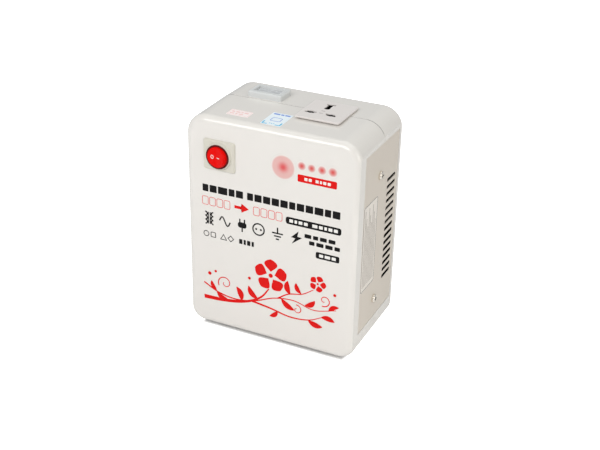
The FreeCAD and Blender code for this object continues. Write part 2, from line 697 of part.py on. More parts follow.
def toroid_fixing():
    near_y = upright_back_y
    far_y = toroid_y + toroid_l / 2
    for name, y in (("front_rubber_pad", near_y), ("rear_rubber_pad", far_y)):
        pad = rod_y(0, toroid_z, y, y + PAD_T, PAD_R - WINDING_EDGE_R)
        hold(name, pad.cut(rod_y(0, toroid_z, y - 1, y + PAD_T + 1, TOROID_HOLE_R)))
    seat_y = far_y + PAD_T
    outer_r = DISH_WELL_R + DISH_SLOPE
    inner_r = DISH_WELL_R - DISH_SLOPE
    hole_r = BOLT_R + HOLE_GAP
    dish = turned_y(0, toroid_z, [
        (hole_r, seat_y - DISH_DEPTH), (inner_r, seat_y - DISH_DEPTH), (outer_r, seat_y),
        (DISH_R, seat_y), (DISH_R, seat_y + DISH_T), (outer_r - 1, seat_y + DISH_T),
        (inner_r - 1, seat_y + DISH_T - DISH_DEPTH), (hole_r, seat_y + DISH_T - DISH_DEPTH)])
    hold("dished_washer", dish)
    nut_y = seat_y + DISH_T - DISH_DEPTH
    washer = rod_y(0, toroid_z, nut_y, nut_y + SPRING_WASHER_T, SPRING_WASHER_R)
    washer = washer.cut(rod_y(0, toroid_z, nut_y - 1, nut_y + SPRING_WASHER_T + 1, hole_r))
    half = SPRING_WASHER_SPLIT / 2
    split = box(0, 2 * SPRING_WASHER_R, nut_y - 1, nut_y + SPRING_WASHER_T + 1,
                toroid_z - half, toroid_z + half)
    hold("spring_washer", washer.cut(split))
    nut_y = nut_y + SPRING_WASHER_T
    nut = hexagon_y(0, toroid_z, nut_y, nut_y + NUT_H, BOLT_HEAD_AF)
    hold("toroid_nut", nut.cut(rod_y(0, toroid_z, nut_y - 1, nut_y + NUT_H + 1, BOLT_R + TAP_GAP)))
    bolt = rod_y(0, toroid_z, upright_y - 0.1, nut_y + NUT_H + BOLT_END, BOLT_R)
    head = hexagon_y(0, toroid_z, upright_y - BOLT_HEAD_H, upright_y, BOLT_HEAD_AF)
    hold("toroid_bolt", bolt.fuse(head))
    cutout_z = toroid_z + TOROID_R
    case = block(0, toroid_y - CUTOUT_OFF_Y, cutout_z + LAYER_GAP, CUTOUT_L, CUTOUT_W, CUTOUT_H)
    ends = [e for e in case.Edges if abs(e.BoundBox.ZLength - CUTOUT_H) < 1e-6]
    hold("thermal_cutout", case.makeFillet(CUTOUT_CORNER_R, ends))


def board_z():
    return base_z + BOARD_Z


def board_front_y():
    return upright_y - STANDOFF_L - BOARD_T


def board_holes():
    dx = BOARD_W / 2 - BOARD_HOLE_INSET
    dz = BOARD_H / 2 - BOARD_HOLE_INSET
    return [(board_x + sx * dx, board_z() + sz * dz) for sx in (-1, 1) for sz in (-1, 1)]


def on_board(size, at):
    """A boxed component standing on the board's front."""
    w, h, d = size
    x = board_x + at[0]
    z = board_z() + at[1]
    return box(x - w / 2, x + w / 2, board_front_y() - d, board_front_y(), z - h / 2, z + h / 2)


def strip_places():
    pitch = STRIP[0] / STRIP_WAYS
    return [board_x + STRIP_AT[0] + pitch * (k - (STRIP_WAYS - 1) / 2) for k in range(STRIP_WAYS)]


def control_board():
    y = board_front_y()
    board = box(board_x - BOARD_W / 2, board_x + BOARD_W / 2, y, y + BOARD_T,
                board_z() - BOARD_H / 2, board_z() + BOARD_H / 2)
    posts = []
    screws = []
    for x, z in board_holes():
        board = board.cut(rod_y(x, z, y - 1, y + BOARD_T + 1, M3[0] + HOLE_GAP))
        post = rod_y(x, z, y + BOARD_T, upright_y, STANDOFF_R)
        posts.append(post.cut(rod_y(x, z, y, upright_y + 1, M3[0] + TAP_GAP)))
        screws.append(pan_head(vec(x, y, z), vec(0, -1, 0), BOARD_T + STANDOFF_L + STEEL_T, M3))
    hold("control_board", board)
    hold("board_standoffs", Part.makeCompound(posts))
    hold("board_screws", Part.makeCompound(screws))
    relay = on_board(RELAY, RELAY_AT)
    hold("relay", relay.makeFillet(RELAY_EDGE_R, [e for e in relay.Edges
                                            if e.BoundBox.YLength > RELAY_EDGE_R]))
    x = board_x + CAP_AT[0]
    z = board_z() + CAP_AT[1]
    can = rod_y(x, z, y - CAP_L, y, CAP_R)
    hold("smoothing_capacitor", can.makeFillet(CAP_EDGE_R, [e for e in can.Edges if e.Closed]))
    hold("control_chip", on_board(CHIP, CHIP_AT))
    strip = on_board(STRIP, STRIP_AT)
    hole_y = y - STRIP[2]
    for px in strip_places():
        strip = strip.cut(rod_y(px, board_z() + STRIP_AT[1], hole_y - 1, hole_y + STRIP_HOLE_DEPTH,
                                STRIP_HOLE_R))
    hold("board_terminals", strip)


def terminal_places():
    pitch = TERMINAL_W / TERMINAL_WAYS
    return [terminal_x + pitch * (k - (TERMINAL_WAYS - 1) / 2) for k in range(TERMINAL_WAYS)]


def mains_terminals():
    z = base_z + TERMINAL_Z
    y1 = upright_y
    y0 = y1 - TERMINAL_D
    strip = box(terminal_x - TERMINAL_W / 2, terminal_x + TERMINAL_W / 2, y0, y1,
                z - TERMINAL_H / 2, z + TERMINAL_H / 2)
    screws = []
    for x in terminal_places():
        strip = strip.cut(rod_z(x, y1 - WIRE_HOLE_INSET, z - TERMINAL_H, z + TERMINAL_H,
                                WIRE_HOLE_R))
        strip = strip.cut(rod_y(x, z, y0 - 1, y0 + CLAMP_HOLE_DEPTH, CLAMP_HOLE_R))
        screws.append(rod_y(x, z, y0 + CLAMP_SCREW_SUNK, y0 + CLAMP_HOLE_DEPTH, CLAMP_SCREW_R))
    hold("mains_terminal_block", strip)
    hold("terminal_clamp_screws", Part.makeCompound(screws))


def pin_places():
    middle = socket_x + PIN_X
    y = SOCKET_Y + PIN_Y
    return [(middle - PIN_SPACING / 2, y), (middle + PIN_SPACING / 2, y)]


def slanted_slot(x, y, length, turn, z0, z1):
    slot = block(0, 0, z0, length, SLANT_W, z1 - z0)
    slot.rotate(vec(0, 0, 0), vec(0, 0, 1), turn)
    slot.translate(vec(x, y, 0))
    return slot


def pin_opening(x, y, turn, z0, z1):
    """One line or neutral opening, wide enough for flat, round and slanted pins."""
    cut = block(x, y, z0, PIN_SLOT_L, PIN_SLOT_W, z1 - z0)
    cut = cut.fuse(rod_z(x, y, z0, z1, PIN_ROUND_R))
    return cut.fuse(slanted_slot(x, y, SLANT_L, turn, z0, z1))


def earth_opening(x, y, z0, z1):
    cut = block(x, y, z0, PIN_SLOT_W, EARTH_SLOT_L, z1 - z0)
    cut = cut.fuse(rod_z(x, y + EARTH_ROUND_Y, z0, z1, PIN_ROUND_R))
    return cut.fuse(slanted_slot(x, y + EARTH_SLANT_Y, EARTH_SLANT_L, EARTH_SLANT_TURN, z0, z1))


def socket():
    z = top_z
    plate = rounded_plate(socket_x, SOCKET_Y, z + PLATE_STEP_H, PLATE_W, PLATE_D,
                          PLATE_T - PLATE_STEP_H, PLATE_CORNER_R)
    rim = [e for e in plate.Edges if e.BoundBox.ZMin > z + PLATE_T - 1e-6]
    plate = plate.makeChamfer(PLATE_EDGE, rim)
    plate = plate.fuse(rounded_plate(socket_x, SOCKET_Y, z, PLATE_W - 2 * PLATE_STEP,
                                     PLATE_D - 2 * PLATE_STEP, PLATE_STEP_H + 0.1,
                                     PLATE_CORNER_R - PLATE_STEP))
    rise = PLATE_T - PLATE_SKIN
    plate = plate.cut(block(socket_x, SOCKET_Y, z - 1, SOCKET_BODY_W + 2 * LAYER_GAP,
                            SOCKET_BODY_D + 2 * LAYER_GAP, rise + 1))
    under = z - SOCKET_BODY_H
    body = block(socket_x, SOCKET_Y, under, SOCKET_BODY_W, SOCKET_BODY_D, SOCKET_BODY_H + rise)
    for (x, y), turn in zip(pin_places(), (SLANT_TURN, -SLANT_TURN)):
        plate = plate.cut(pin_opening(x, y, turn, z - 1, z + PLATE_T + 1))
        body = body.cut(block(x, y, under + SOCKET_FLOOR, WELL_W, WELL_D, SOCKET_BODY_H))
    x = socket_x + PIN_X
    y = SOCKET_Y + EARTH_Y
    plate = plate.cut(earth_opening(x, y, z - 1, z + PLATE_T + 1))
    body = body.cut(block(x, y, under + SOCKET_FLOOR, EARTH_WELL_W, EARTH_WELL_D, SOCKET_BODY_H))
    hold("socket_faceplate", plate)
    hold("socket_body", body)
    places = pin_places() + [(x, y)]
    for name, (cx, cy) in zip(("line_contact", "neutral_contact", "earth_contact"), places):
        hold(name, socket_contact(cx, cy, under))


def socket_contact(x, y, under):
    """Two sprung leaves on a foot that stands on the body's floor."""
    low = under + SOCKET_FLOOR
    high = top_z - CONTACT_DROP
    spread = WELL_D / 2 - CONTACT_GAP - CONTACT_T / 2
    contact = block(x, y, low, CONTACT_LEAF_W, 2 * spread + CONTACT_T, CONTACT_T)
    for side in (-1, 1):
        leaf = block(x, y + side * spread, low, CONTACT_LEAF_W, CONTACT_T, high - low)
        contact = contact.fuse(leaf)
    return contact


def meter():
    z = top_z
    bezel = rounded_plate(meter_x, METER_Y, z, METER_W, METER_D, METER_H, METER_CORNER_R)
    rim = [e for e in bezel.Edges if e.BoundBox.ZMin > z + METER_H - 1e-6]
    bezel = bezel.makeChamfer(METER_EDGE, rim)
    skirt_z = z - METER_SKIRT_H
    skirt = block(meter_x, METER_Y, skirt_z, METER_SKIRT_W, METER_SKIRT_D, METER_SKIRT_H + 0.5)
    bezel = bezel.fuse(skirt)
    glass_z = z + METER_H - WINDOW_SUNK
    bezel = bezel.cut(block(meter_x, METER_Y, glass_z - 0.1, WINDOW_W, WINDOW_D, METER_H))
    low_z = glass_z - WINDOW_T - LAYER_GAP
    bezel = bezel.cut(block(meter_x, METER_Y, skirt_z - 1, METER_SKIRT_W - 2 * METER_WALL,
                            METER_SKIRT_D - 2 * METER_WALL, low_z + WINDOW_T - skirt_z + 1))
    hold("meter_bezel", bezel)
    pane_w = METER_SKIRT_W - 2 * METER_WALL - 2 * LAYER_GAP
    pane_d = METER_SKIRT_D - 2 * METER_WALL - 2 * LAYER_GAP
    hold("meter_window", block(meter_x, METER_Y, low_z, pane_w, pane_d, WINDOW_T))
    digits_z = low_z - LAYER_GAP - DIGITS_H
    hold("digit_display", block(meter_x, METER_Y, digits_z, DIGITS_W, DIGITS_D, DIGITS_H))
    hold("meter_board", block(meter_x, METER_Y, digits_z - METER_BOARD_T, pane_w, pane_d,
                              METER_BOARD_T))


def switch_housing():
    bezel = block(switch_x, 0, 0, BEZEL_W, BEZEL_H, BEZEL_T)
    upright = [e for e in bezel.Edges if abs(e.BoundBox.ZLength - BEZEL_T) < 1e-6]
    bezel = bezel.makeFillet(BEZEL_CORNER_R, upright)
    rim = [e for e in bezel.Edges if e.BoundBox.ZMin > BEZEL_T - 1e-6]
    bezel = bezel.makeChamfer(BEZEL_EDGE, rim)
    bezel.rotate(vec(0, 0, 0), vec(1, 0, 0), 90)
    bezel.translate(vec(0, front_y, switch_z))
    bezel = bezel.fuse(cone_y(switch_x, switch_z, front_y - COLLAR_H, front_y,
                              COLLAR_TOP_R, COLLAR_R))
    bezel = bezel.fuse(rod_y(switch_x, switch_z, front_y - 0.5, front_y + WALL,
                             COLLAR_TOP_R - LAYER_GAP))
    bezel = bezel.cut(rod_y(switch_x, switch_z, ring_y, front_y + WALL + 1,
                            BARREL_R + BARREL_GAP))
    hold("switch_bezel", bezel)
    back_y = ring_y + SWITCH_BODY_L
    body = rod_y(switch_x, switch_z, ring_y, ring_y + SWITCH_RING_T, SWITCH_RING_R)
    rim = [e for e in body.Edges if e.Closed and e.BoundBox.YMax < ring_y + 0.1]
    body = body.makeFillet(SWITCH_RING_EDGE_R, rim)
    body = body.fuse(rod_y(switch_x, switch_z, ring_y + SWITCH_RING_EDGE_R, back_y, BARREL_R))
    body = body.cut(rod_y(switch_x, switch_z, ring_y - 1, inside_back_y, SWITCH_BORE_R))
    hole_r = PIN_R + PIN_CLEARANCE
    pin_end = BARREL_R + 0.01
    body = body.cut(rod_z(switch_x, pivot_y, switch_z - pin_end, switch_z + pin_end, hole_r))
    tab_half = TAB_W / 2 + LAYER_GAP
    for x in tab_places():
        body = body.cut(box(x - TAB_T / 2 - LAYER_GAP, x + TAB_T / 2 + LAYER_GAP,
                            inside_back_y - 1, back_y + 1, switch_z - tab_half,
                            switch_z + tab_half))
    hold("switch_body", body)
    nut_y = front_y + WALL
    nut = rod_y(switch_x, switch_z, nut_y, nut_y + SWITCH_NUT_T, SWITCH_NUT_R)
    hold("switch_nut", nut.cut(rod_y(switch_x, switch_z, nut_y - 1, nut_y + SWITCH_NUT_T + 1,
                                     BARREL_R + LAYER_GAP)))


def tab_places():
    return [switch_x - TAB_X, switch_x, switch_x + TAB_X]


def seesaw_pivot_y():
    return inside_back_y - SEESAW_PIVOT


def switch_contacts():
    """Three tabs through the switch's back; the middle one carries the seesaw contact."""
    back_y = ring_y + SWITCH_BODY_L
    tabs = []
    carried = SEESAW_PIVOT - SEESAW_T / 2 - SEESAW_GAP
    met = carried - (TAB_X + TAB_T / 2) * math.sin(math.radians(SEESAW_THROW / 2))
    for x in tab_places():
        reach = carried if x == switch_x else met
        tab = box(x - TAB_T / 2, x + TAB_T / 2, inside_back_y - reach, back_y + TAB_L,
                  switch_z - TAB_W / 2, switch_z + TAB_W / 2)
        tabs.append(tab)
    hold("switch_terminals", Part.makeCompound(tabs))
    arm = SEESAW_L / 2
    y = seesaw_pivot_y()
    seesaw = box(switch_x - arm, switch_x + arm, y - SEESAW_T / 2, y + SEESAW_T / 2,
                 switch_z - CONTACT_W / 2, switch_z + CONTACT_W / 2)
    seesaw.rotate(vec(switch_x, y, switch_z), vec(0, 0, 1), SEESAW_THROW / 2)
    hold("seesaw_contact", seesaw)


def rocker():
    """A ball-sided rocker with a shallow V top, stored with its left end pressed."""
    ball = Part.makeSphere(ROCKER_R, vec(switch_x, pivot_y, switch_z))
    low_y = pivot_y + ROCKER_SKIRT
    keep = box(switch_x - 2 * ROCKER_R, switch_x + 2 * ROCKER_R, pivot_y - 2 * ROCKER_R, low_y,
               switch_z - 2 * ROCKER_R, switch_z + 2 * ROCKER_R)
    solid = ball.common(keep)
    half = math.radians(ROCKER_THROW / 2)
    crest_y = pivot_y - ROCKER_CREST
    for side in (-1, 1):
        reach = ROCKER_R / 2
        mid = vec(switch_x + side * reach * math.cos(half), crest_y - reach * math.sin(half), 0)
        sag = ROCKER_DISH_R - math.sqrt(ROCKER_DISH_R ** 2 - reach ** 2)
        away = ROCKER_DISH_R - sag
        centre = mid + vec(-side * math.sin(half), -math.cos(half), 0) * away
        dish = rod_z(centre.x, centre.y, switch_z - 2 * ROCKER_R, switch_z + 2 * ROCKER_R,
                     ROCKER_DISH_R)
        x0, x1 = sorted((switch_x, switch_x + side * 2 * ROCKER_R))
        part = box(x0, x1, pivot_y - 2 * ROCKER_R, pivot_y + 2 * ROCKER_R,
                   switch_z - 2 * ROCKER_R, switch_z + 2 * ROCKER_R)
        solid = solid.cut(dish.common(part))
    roof_y = crest_y + ROCKER_ROOF
    inner = Part.makeSphere(ROCKER_R - ROCKER_WALL, vec(switch_x, pivot_y, switch_z))
    inner = inner.common(box(switch_x - 2 * ROCKER_R, switch_x + 2 * ROCKER_R, roof_y, low_y + 1,
                             switch_z - 2 * ROCKER_R, switch_z + 2 * ROCKER_R))
    solid = solid.cut(inner)
    boss = rod_y(switch_x, switch_z, roof_y - 0.5, low_y, PLUNGER_BOSS_R)
    solid = solid.fuse(boss)
    pin_z = BARREL_R - PIN_END_GAP
    for side in (-1, 1):
        z0, z1 = sorted((switch_z + side * (ROCKER_R - 1.0), switch_z + side * pin_z))
        solid = solid.fuse(rod_z(switch_x, pivot_y, z0, z1, PIN_R))
    bore = rod_y(switch_x, switch_z, pivot_y + BORE_TOP, low_y + 1, PLUNGER_R + LAYER_GAP)
    tilt = (vec(switch_x, pivot_y, switch_z), vec(0, 0, 1), -ROCKER_THROW / 2)
    solid = solid.cut(bore)
    solid.rotate(*tilt)
    hold("rocker", solid)
    tip_y = seesaw_pivot_y() - SEESAW_T / 2 - PLUNGER_LIFT
    stem = rod_y(switch_x, switch_z, low_y - PLUNGER_L, tip_y - PLUNGER_R, PLUNGER_R)
    stem = stem.fuse(Part.makeSphere(PLUNGER_R, vec(switch_x, tip_y - PLUNGER_R, switch_z)))
    stem.rotate(*tilt)
    hold("rocker_plunger", stem)
    hold("plunger_spring", spring(low_y).rotated(*tilt))


def spring(low_y):
    """The plunger's coil spring in the rocker's bore, as one winding wire."""
    start = pivot_y + BORE_TOP + 2 * SPRING_GAP
    height = low_y - PLUNGER_L - 2 * SPRING_GAP - start - 2 * SPRING_WIRE_R
    coil_r = PLUNGER_R - SPRING_WIRE_R - SPRING_GAP
    helix = Part.makeHelix(height / SPRING_TURNS, height, coil_r)
    ring = Part.Wire([Part.Circle(vec(coil_r, 0, 0), vec(0, 1, 0), SPRING_WIRE_R).toShape()])
    coil = Part.Wire(helix).makePipeShell([ring], True, True)
    coil.rotate(vec(0, 0, 0), vec(1, 0, 0), -90)
    coil.translate(vec(switch_x, start + SPRING_WIRE_R, switch_z))
    return coil


def switch_lamp():
    y1 = inside_back_y
    lamps = rod_y(switch_x, switch_z + LAMP_Z, y1 - LAMP_L + LAMP_R, y1, LAMP_R)
    lamps = lamps.fuse(Part.makeSphere(LAMP_R, vec(switch_x, y1 - LAMP_L + LAMP_R,
                                                   switch_z + LAMP_Z)))
    hold("neon_lamp", lamps)


def cord_gland():
    out_y = rear_y + GLAND_FLANGE_T + GLAND_NOSE_L
    in_y = rear_y - WALL - GLAND_INSIDE_L
    gland = rod_y(gland_x, gland_z, in_y, rear_y, GLAND_THREAD_R)
    gland = gland.fuse(rod_y(gland_x, gland_z, rear_y, rear_y + GLAND_FLANGE_T, GLAND_FLANGE_R))
    gland = gland.fuse(cone_y(gland_x, gland_z, rear_y + GLAND_FLANGE_T, out_y,
                              GLAND_NOSE_R, GLAND_NOSE_R - GLAND_TAPER))
    hold("cord_gland", gland.cut(rod_y(gland_x, gland_z, in_y - 1, out_y + 1, GLAND_BORE_R)))
    y1 = rear_y - WALL
    nut = hexagon_y(gland_x, gland_z, y1 - LOCKNUT_T, y1, LOCKNUT_AF)
    hold("gland_locknut", nut.cut(rod_y(gland_x, gland_z, y1 - LOCKNUT_T - 1, y1 + 1,
                                        GLAND_THREAD_R + TAP_GAP)))


def stickers():
    places = (("long_sticker", LONG_STICKER), ("square_sticker", WIDE_STICKER))
    for name, (off, y, w, d) in places:
        sticker = rounded_plate(socket_x - off, front_y + y, top_z, w, d, STICKER_T, STICKER_CORNER_R)
        sticker.rotate(vec(0, SEAM_Y, top_z), vec(1, 0, 0), fall_turn)
        hold(name, sticker)


def leads():
    """Insulated leads between the pieces, each ending face to face with what it joins."""
    tab_y = ring_y + SWITCH_BODY_L + TAB_L
    term_z = base_z + TERMINAL_Z + TERMINAL_H / 2
    term_y = upright_y - WIRE_HOLE_INSET
    term_x = terminal_places()
    strip_y = board_front_y() - STRIP[2]
    strip_z = board_z() + STRIP_AT[1]
    strip_x = strip_places()
    socket_z = top_z - SOCKET_BODY_H
    near_y = upright_y - LEAD_OFF
    over_z = base_z + UPRIGHT_Z0 + upright_h + LEAD_OFF
    left, middle = tab_places()[:2]
    runs = []
    for k, (x, y) in enumerate(((left, near_y - LEAD_PITCH), (middle, near_y))):
        runs.append(lead([(x, tab_y, switch_z), (x, y, switch_z),
                          ((x + term_x[k]) / 2, y, switch_z - LEAD_FALL),
                          (term_x[k], y, term_z + LEAD_RISE),
                          (term_x[k], term_y, term_z + LEAD_END), (term_x[k], term_y, term_z)]))
    hold("switch_leads", Part.makeCompound(runs))
    runs = []
    for (x, y), tx, dy in zip(pin_places(), term_x[2:], (0, -LEAD_PITCH)):
        runs.append(lead([(x, y, socket_z), (x, y, socket_z - LEAD_END),
                          (x + LEAD_OFF, near_y + dy, socket_z - LEAD_FALL),
                          (tx, near_y + dy, term_z + LEAD_RISE),
                          (tx, term_y, term_z + LEAD_END), (tx, term_y, term_z)]))
    hold("socket_leads", Part.makeCompound(runs))
    runs = []
    for x0, x1, sx in zip(WINDING_EXIT_X, WINDING_TOP_X, strip_x[2:]):
        exit_z = toroid_z + math.sqrt(TOROID_R ** 2 - x0 ** 2) + LEAD_R
        exit_y = toroid_y - WINDING_EXIT_Y
        runs.append(lead([(x0, exit_y, exit_z), (x0, exit_y, exit_z + LEAD_END),
                          (x1, upright_back_y + LEAD_END, over_z), (x1, near_y - LEAD_OFF, over_z),
                          (x1, near_y - WINDING_FALL_Y, over_z - WINDING_FALL),
                          (sx, strip_y - LEAD_OFF, strip_z + WINDING_FALL / 2),
                          (sx, strip_y - LEAD_OFF, strip_z), (sx, strip_y, strip_z)]))
    hold("winding_leads", Part.makeCompound(runs))


os.makedirs("parts", exist_ok=True)
covers()
cover_screws()
side_panels()
base_and_feet()
upright_frame()
toroid()
toroid_fixing()
control_board()
mains_terminals()
socket()
meter()
switch_housing()
switch_contacts()
rocker()
switch_lamp()
cord_gland()
stickers()
leads()
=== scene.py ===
"""The looks of a portable step-down voltage transformer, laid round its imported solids."""
import json
import math

import bmesh
import bpy
import numpy as np
from mathutils import Matrix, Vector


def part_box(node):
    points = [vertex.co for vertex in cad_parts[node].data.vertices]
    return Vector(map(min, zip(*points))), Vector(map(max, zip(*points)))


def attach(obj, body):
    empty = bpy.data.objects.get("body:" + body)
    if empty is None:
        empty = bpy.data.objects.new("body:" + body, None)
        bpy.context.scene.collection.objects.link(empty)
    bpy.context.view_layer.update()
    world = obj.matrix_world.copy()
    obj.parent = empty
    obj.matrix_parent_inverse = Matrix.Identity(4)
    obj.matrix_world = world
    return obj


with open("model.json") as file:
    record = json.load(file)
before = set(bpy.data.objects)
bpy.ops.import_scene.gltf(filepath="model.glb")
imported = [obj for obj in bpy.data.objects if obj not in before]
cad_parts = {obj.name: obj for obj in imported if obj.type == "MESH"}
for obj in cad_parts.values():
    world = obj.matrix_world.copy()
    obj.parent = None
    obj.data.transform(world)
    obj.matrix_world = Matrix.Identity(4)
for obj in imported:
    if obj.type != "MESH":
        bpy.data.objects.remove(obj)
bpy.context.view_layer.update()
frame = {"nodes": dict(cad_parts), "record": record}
nodes = frame["nodes"]

MM = 0.001
PLASTIC_IOR = 1.5          # of the lamp's glass as well


def linear(colour):
    """Turns an sRGB hex colour into the linear values that a shader socket takes."""
    parts = np.array([int(colour[k:k + 2], 16) for k in (1, 3, 5)]) / 255
    wide = np.where(parts <= 0.04045, parts / 12.92, ((parts + 0.055) / 1.055) ** 2.4)
    return (*wide, 1.0)


def add(tree, kind, values=None, wires=None, **settings):
    """Adds one shader node, sets its properties and sockets, and wires other nodes' outputs to it."""
    made = tree.nodes.new("ShaderNode" + kind)
    for name, value in settings.items():
        setattr(made, name, value)
    for name, value in (values or {}).items():
        made.inputs[name].default_value = value
    for name, (source, output) in (wires or {}).items():
        tree.links.new(source.outputs[output], made.inputs[name])
    return made


def new_material(name):
    """A material with an empty node tree, and that tree."""
    material = bpy.data.materials.new(name)
    material.use_nodes = True
    material.node_tree.nodes.clear()
    return material, material.node_tree


# The studio: a pale floor under a wide soft key lamp from the front left, weaker lamps from
# above, from the right and close to the floor, and a surround that only the camera sees white.
bpy.context.scene.view_settings.view_transform = "Standard"
surround = bpy.data.worlds.new("white_surround")
bpy.context.scene.world = surround
surround.use_nodes = True
tree = surround.node_tree
tree.nodes.clear()
path = add(tree, "LightPath")
seen = add(tree, "Math", wires={0: (path, "Is Camera Ray"), 1: (path, "Is Transmission Ray")},
           operation="MAXIMUM")
soft = add(tree, "Background", {"Color": linear("#f4f5f7"), "Strength": 0.5})
white = add(tree, "Background", {"Color": (1, 1, 1, 1), "Strength": 1.0})
either = add(tree, "MixShader", wires={0: (seen, 0), 1: (soft, 0), 2: (white, 0)})
add(tree, "OutputWorld", wires={"Surface": (either, 0)})

# The floor is shaded only under the case, up to a little inside its sides. Beyond that it glows
# for the camera, so the ground reads as a white sheet.
FLOOR_REACH = 4.0                        # metres, as in the next two lines
SHADE_INSET = 0.006
SHADE_END, GLOW_START = -0.0065, -0.0025
FLOOR_GLOW = 0.95
floor_mesh = bpy.data.meshes.new("studio_floor")
floor_corners = [(x * FLOOR_REACH, y * FLOOR_REACH, 0) for x, y in ((-1, -1), (1, -1), (1, 1), (-1, 1))]
floor_mesh.from_pydata(floor_corners, [], [(0, 1, 2, 3)])
floor = bpy.data.objects.new("studio_floor", floor_mesh)
bpy.context.collection.objects.link(floor)
floor_finish, tree = new_material("matt_white_floor")
path = add(tree, "LightPath")
where = add(tree, "TexCoord")
split = add(tree, "SeparateXYZ", wires={0: (where, "Object")})
beyond = []
for axis, half in (("X", -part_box("front_cover")[0][0] - SHADE_INSET), ("Y", -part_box("front_cover")[0][1])):
    far = add(tree, "Math", wires={0: (split, axis)}, operation="ABSOLUTE")
    beyond.append(add(tree, "Math", {1: float(half)}, {0: (far, 0)}, operation="SUBTRACT"))
off = add(tree, "Math", wires={0: (beyond[0], 0), 1: (beyond[1], 0)}, operation="MAXIMUM")
clear = add(tree, "MapRange", {"From Min": SHADE_END, "From Max": GLOW_START, "To Max": FLOOR_GLOW},
            {"Value": (off, 0)})
lift = add(tree, "Math", wires={0: (path, "Is Camera Ray"), 1: (clear, 0)}, operation="MULTIPLY")
coat = add(tree, "BsdfPrincipled", {"Base Color": linear("#f6f6f6"), "Roughness": 0.9,
                                    "Emission Color": (1, 1, 1, 1)},
           {"Emission Strength": (lift, 0)})
add(tree, "OutputMaterial", wires={"Surface": (coat, 0)})
floor_mesh.materials.append(floor_finish)

# Each lamp: its name, place, the point it faces, width, height, watts and tint.
CASE_MIDDLE = (0.0, 0.0, 0.12)
LAMPS = (("key_lamp", (-0.25, -1.25, 1.15), CASE_MIDDLE, 1.2, 0.75, 12.6, (1.0, 1.0, 1.0)),
         ("top_lamp", (0.15, 0.35, 1.45), (0.0, 0.0, 0.15), 1.2, 1.2, 4.0, (0.95, 1.0, 0.97)),
         ("fill_lamp", (1.5, -0.35, 0.6), CASE_MIDDLE, 0.9, 0.9, 4.4, (1.0, 0.955, 0.87)),
         ("low_lamp", (0.30, -0.12, 0.02), (0.09, 0.0, 0.04), 0.3, 0.06, 0.05, (1.0, 0.98, 0.96)))
for name, place, target, width, height, power, tint in LAMPS:
    light = bpy.data.lights.new(name, "AREA")
    light.shape = "RECTANGLE"
    light.size = width
    light.size_y = height
    light.energy = power
    light.color = tint
    lamp = bpy.data.objects.new(name, light)
    back = np.array(place) - np.array(target)
    back /= np.linalg.norm(back)
    side = np.cross((0, 0, 1), back)
    side /= np.linalg.norm(side)
    turn = np.column_stack((side, np.cross(back, side), back))
    lamp.matrix_world = Matrix.Translation(place) @ Matrix(turn.tolist()).to_4x4()
    bpy.context.collection.objects.link(lamp)

# The camera stands at the front right and above, as far off as the photograph's perspective says.
AZIMUTH, ELEVATION, ROLL = (math.radians(a) for a in (24.838, 26.818, 1.264))
DISTANCE = 1079.37 * MM
AIM = np.array((0, 0, 121.0)) * MM
SHIFT_RIGHT, SHIFT_UP = -5.969 * MM, 9.072 * MM
FOCAL_PX, PICTURE_W_PX = 1053.81, 600
back = np.array((math.sin(AZIMUTH) * math.cos(ELEVATION), -math.cos(AZIMUTH) * math.cos(ELEVATION),
                 math.sin(ELEVATION)))
level = np.cross(-back, (0, 0, 1))
level /= np.linalg.norm(level)
above = np.cross(level, -back)
right = level * math.cos(ROLL) + above * math.sin(ROLL)
up = above * math.cos(ROLL) - level * math.sin(ROLL)
eye = AIM + back * DISTANCE - right * SHIFT_RIGHT - up * SHIFT_UP
lens = bpy.data.cameras.new("camera")
lens.sensor_width = 36.0
lens.lens = FOCAL_PX / PICTURE_W_PX * lens.sensor_width
lens.clip_start, lens.clip_end = 0.05, 20.0
camera = bpy.data.objects.new("camera", lens)
camera.matrix_world = (Matrix.Translation(eye.tolist())
                       @ Matrix(np.column_stack((right, up, back)).tolist()).to_4x4())
bpy.context.collection.objects.link(camera)
bpy.context.scene.camera = camera


def spread(colour, share, lift=0.0):
    """The two ends of a tone that wanders by a share of itself, the upper one lifted a little."""
    shade = np.array(linear(colour)[:3])
    return (*(shade * (1 - share)), 1.0), (*np.minimum(shade * (1 + share) + lift, 1.0), 1.0)


# The two covers are injection-moulded ABS in pearl white with a polished skin. Flow in the
# mould leaves a slow unevenness in gloss, and the skin has a very fine orange peel.
FLOW_MM = 60.0
PEEL_DEPTH = 0.2 * MM


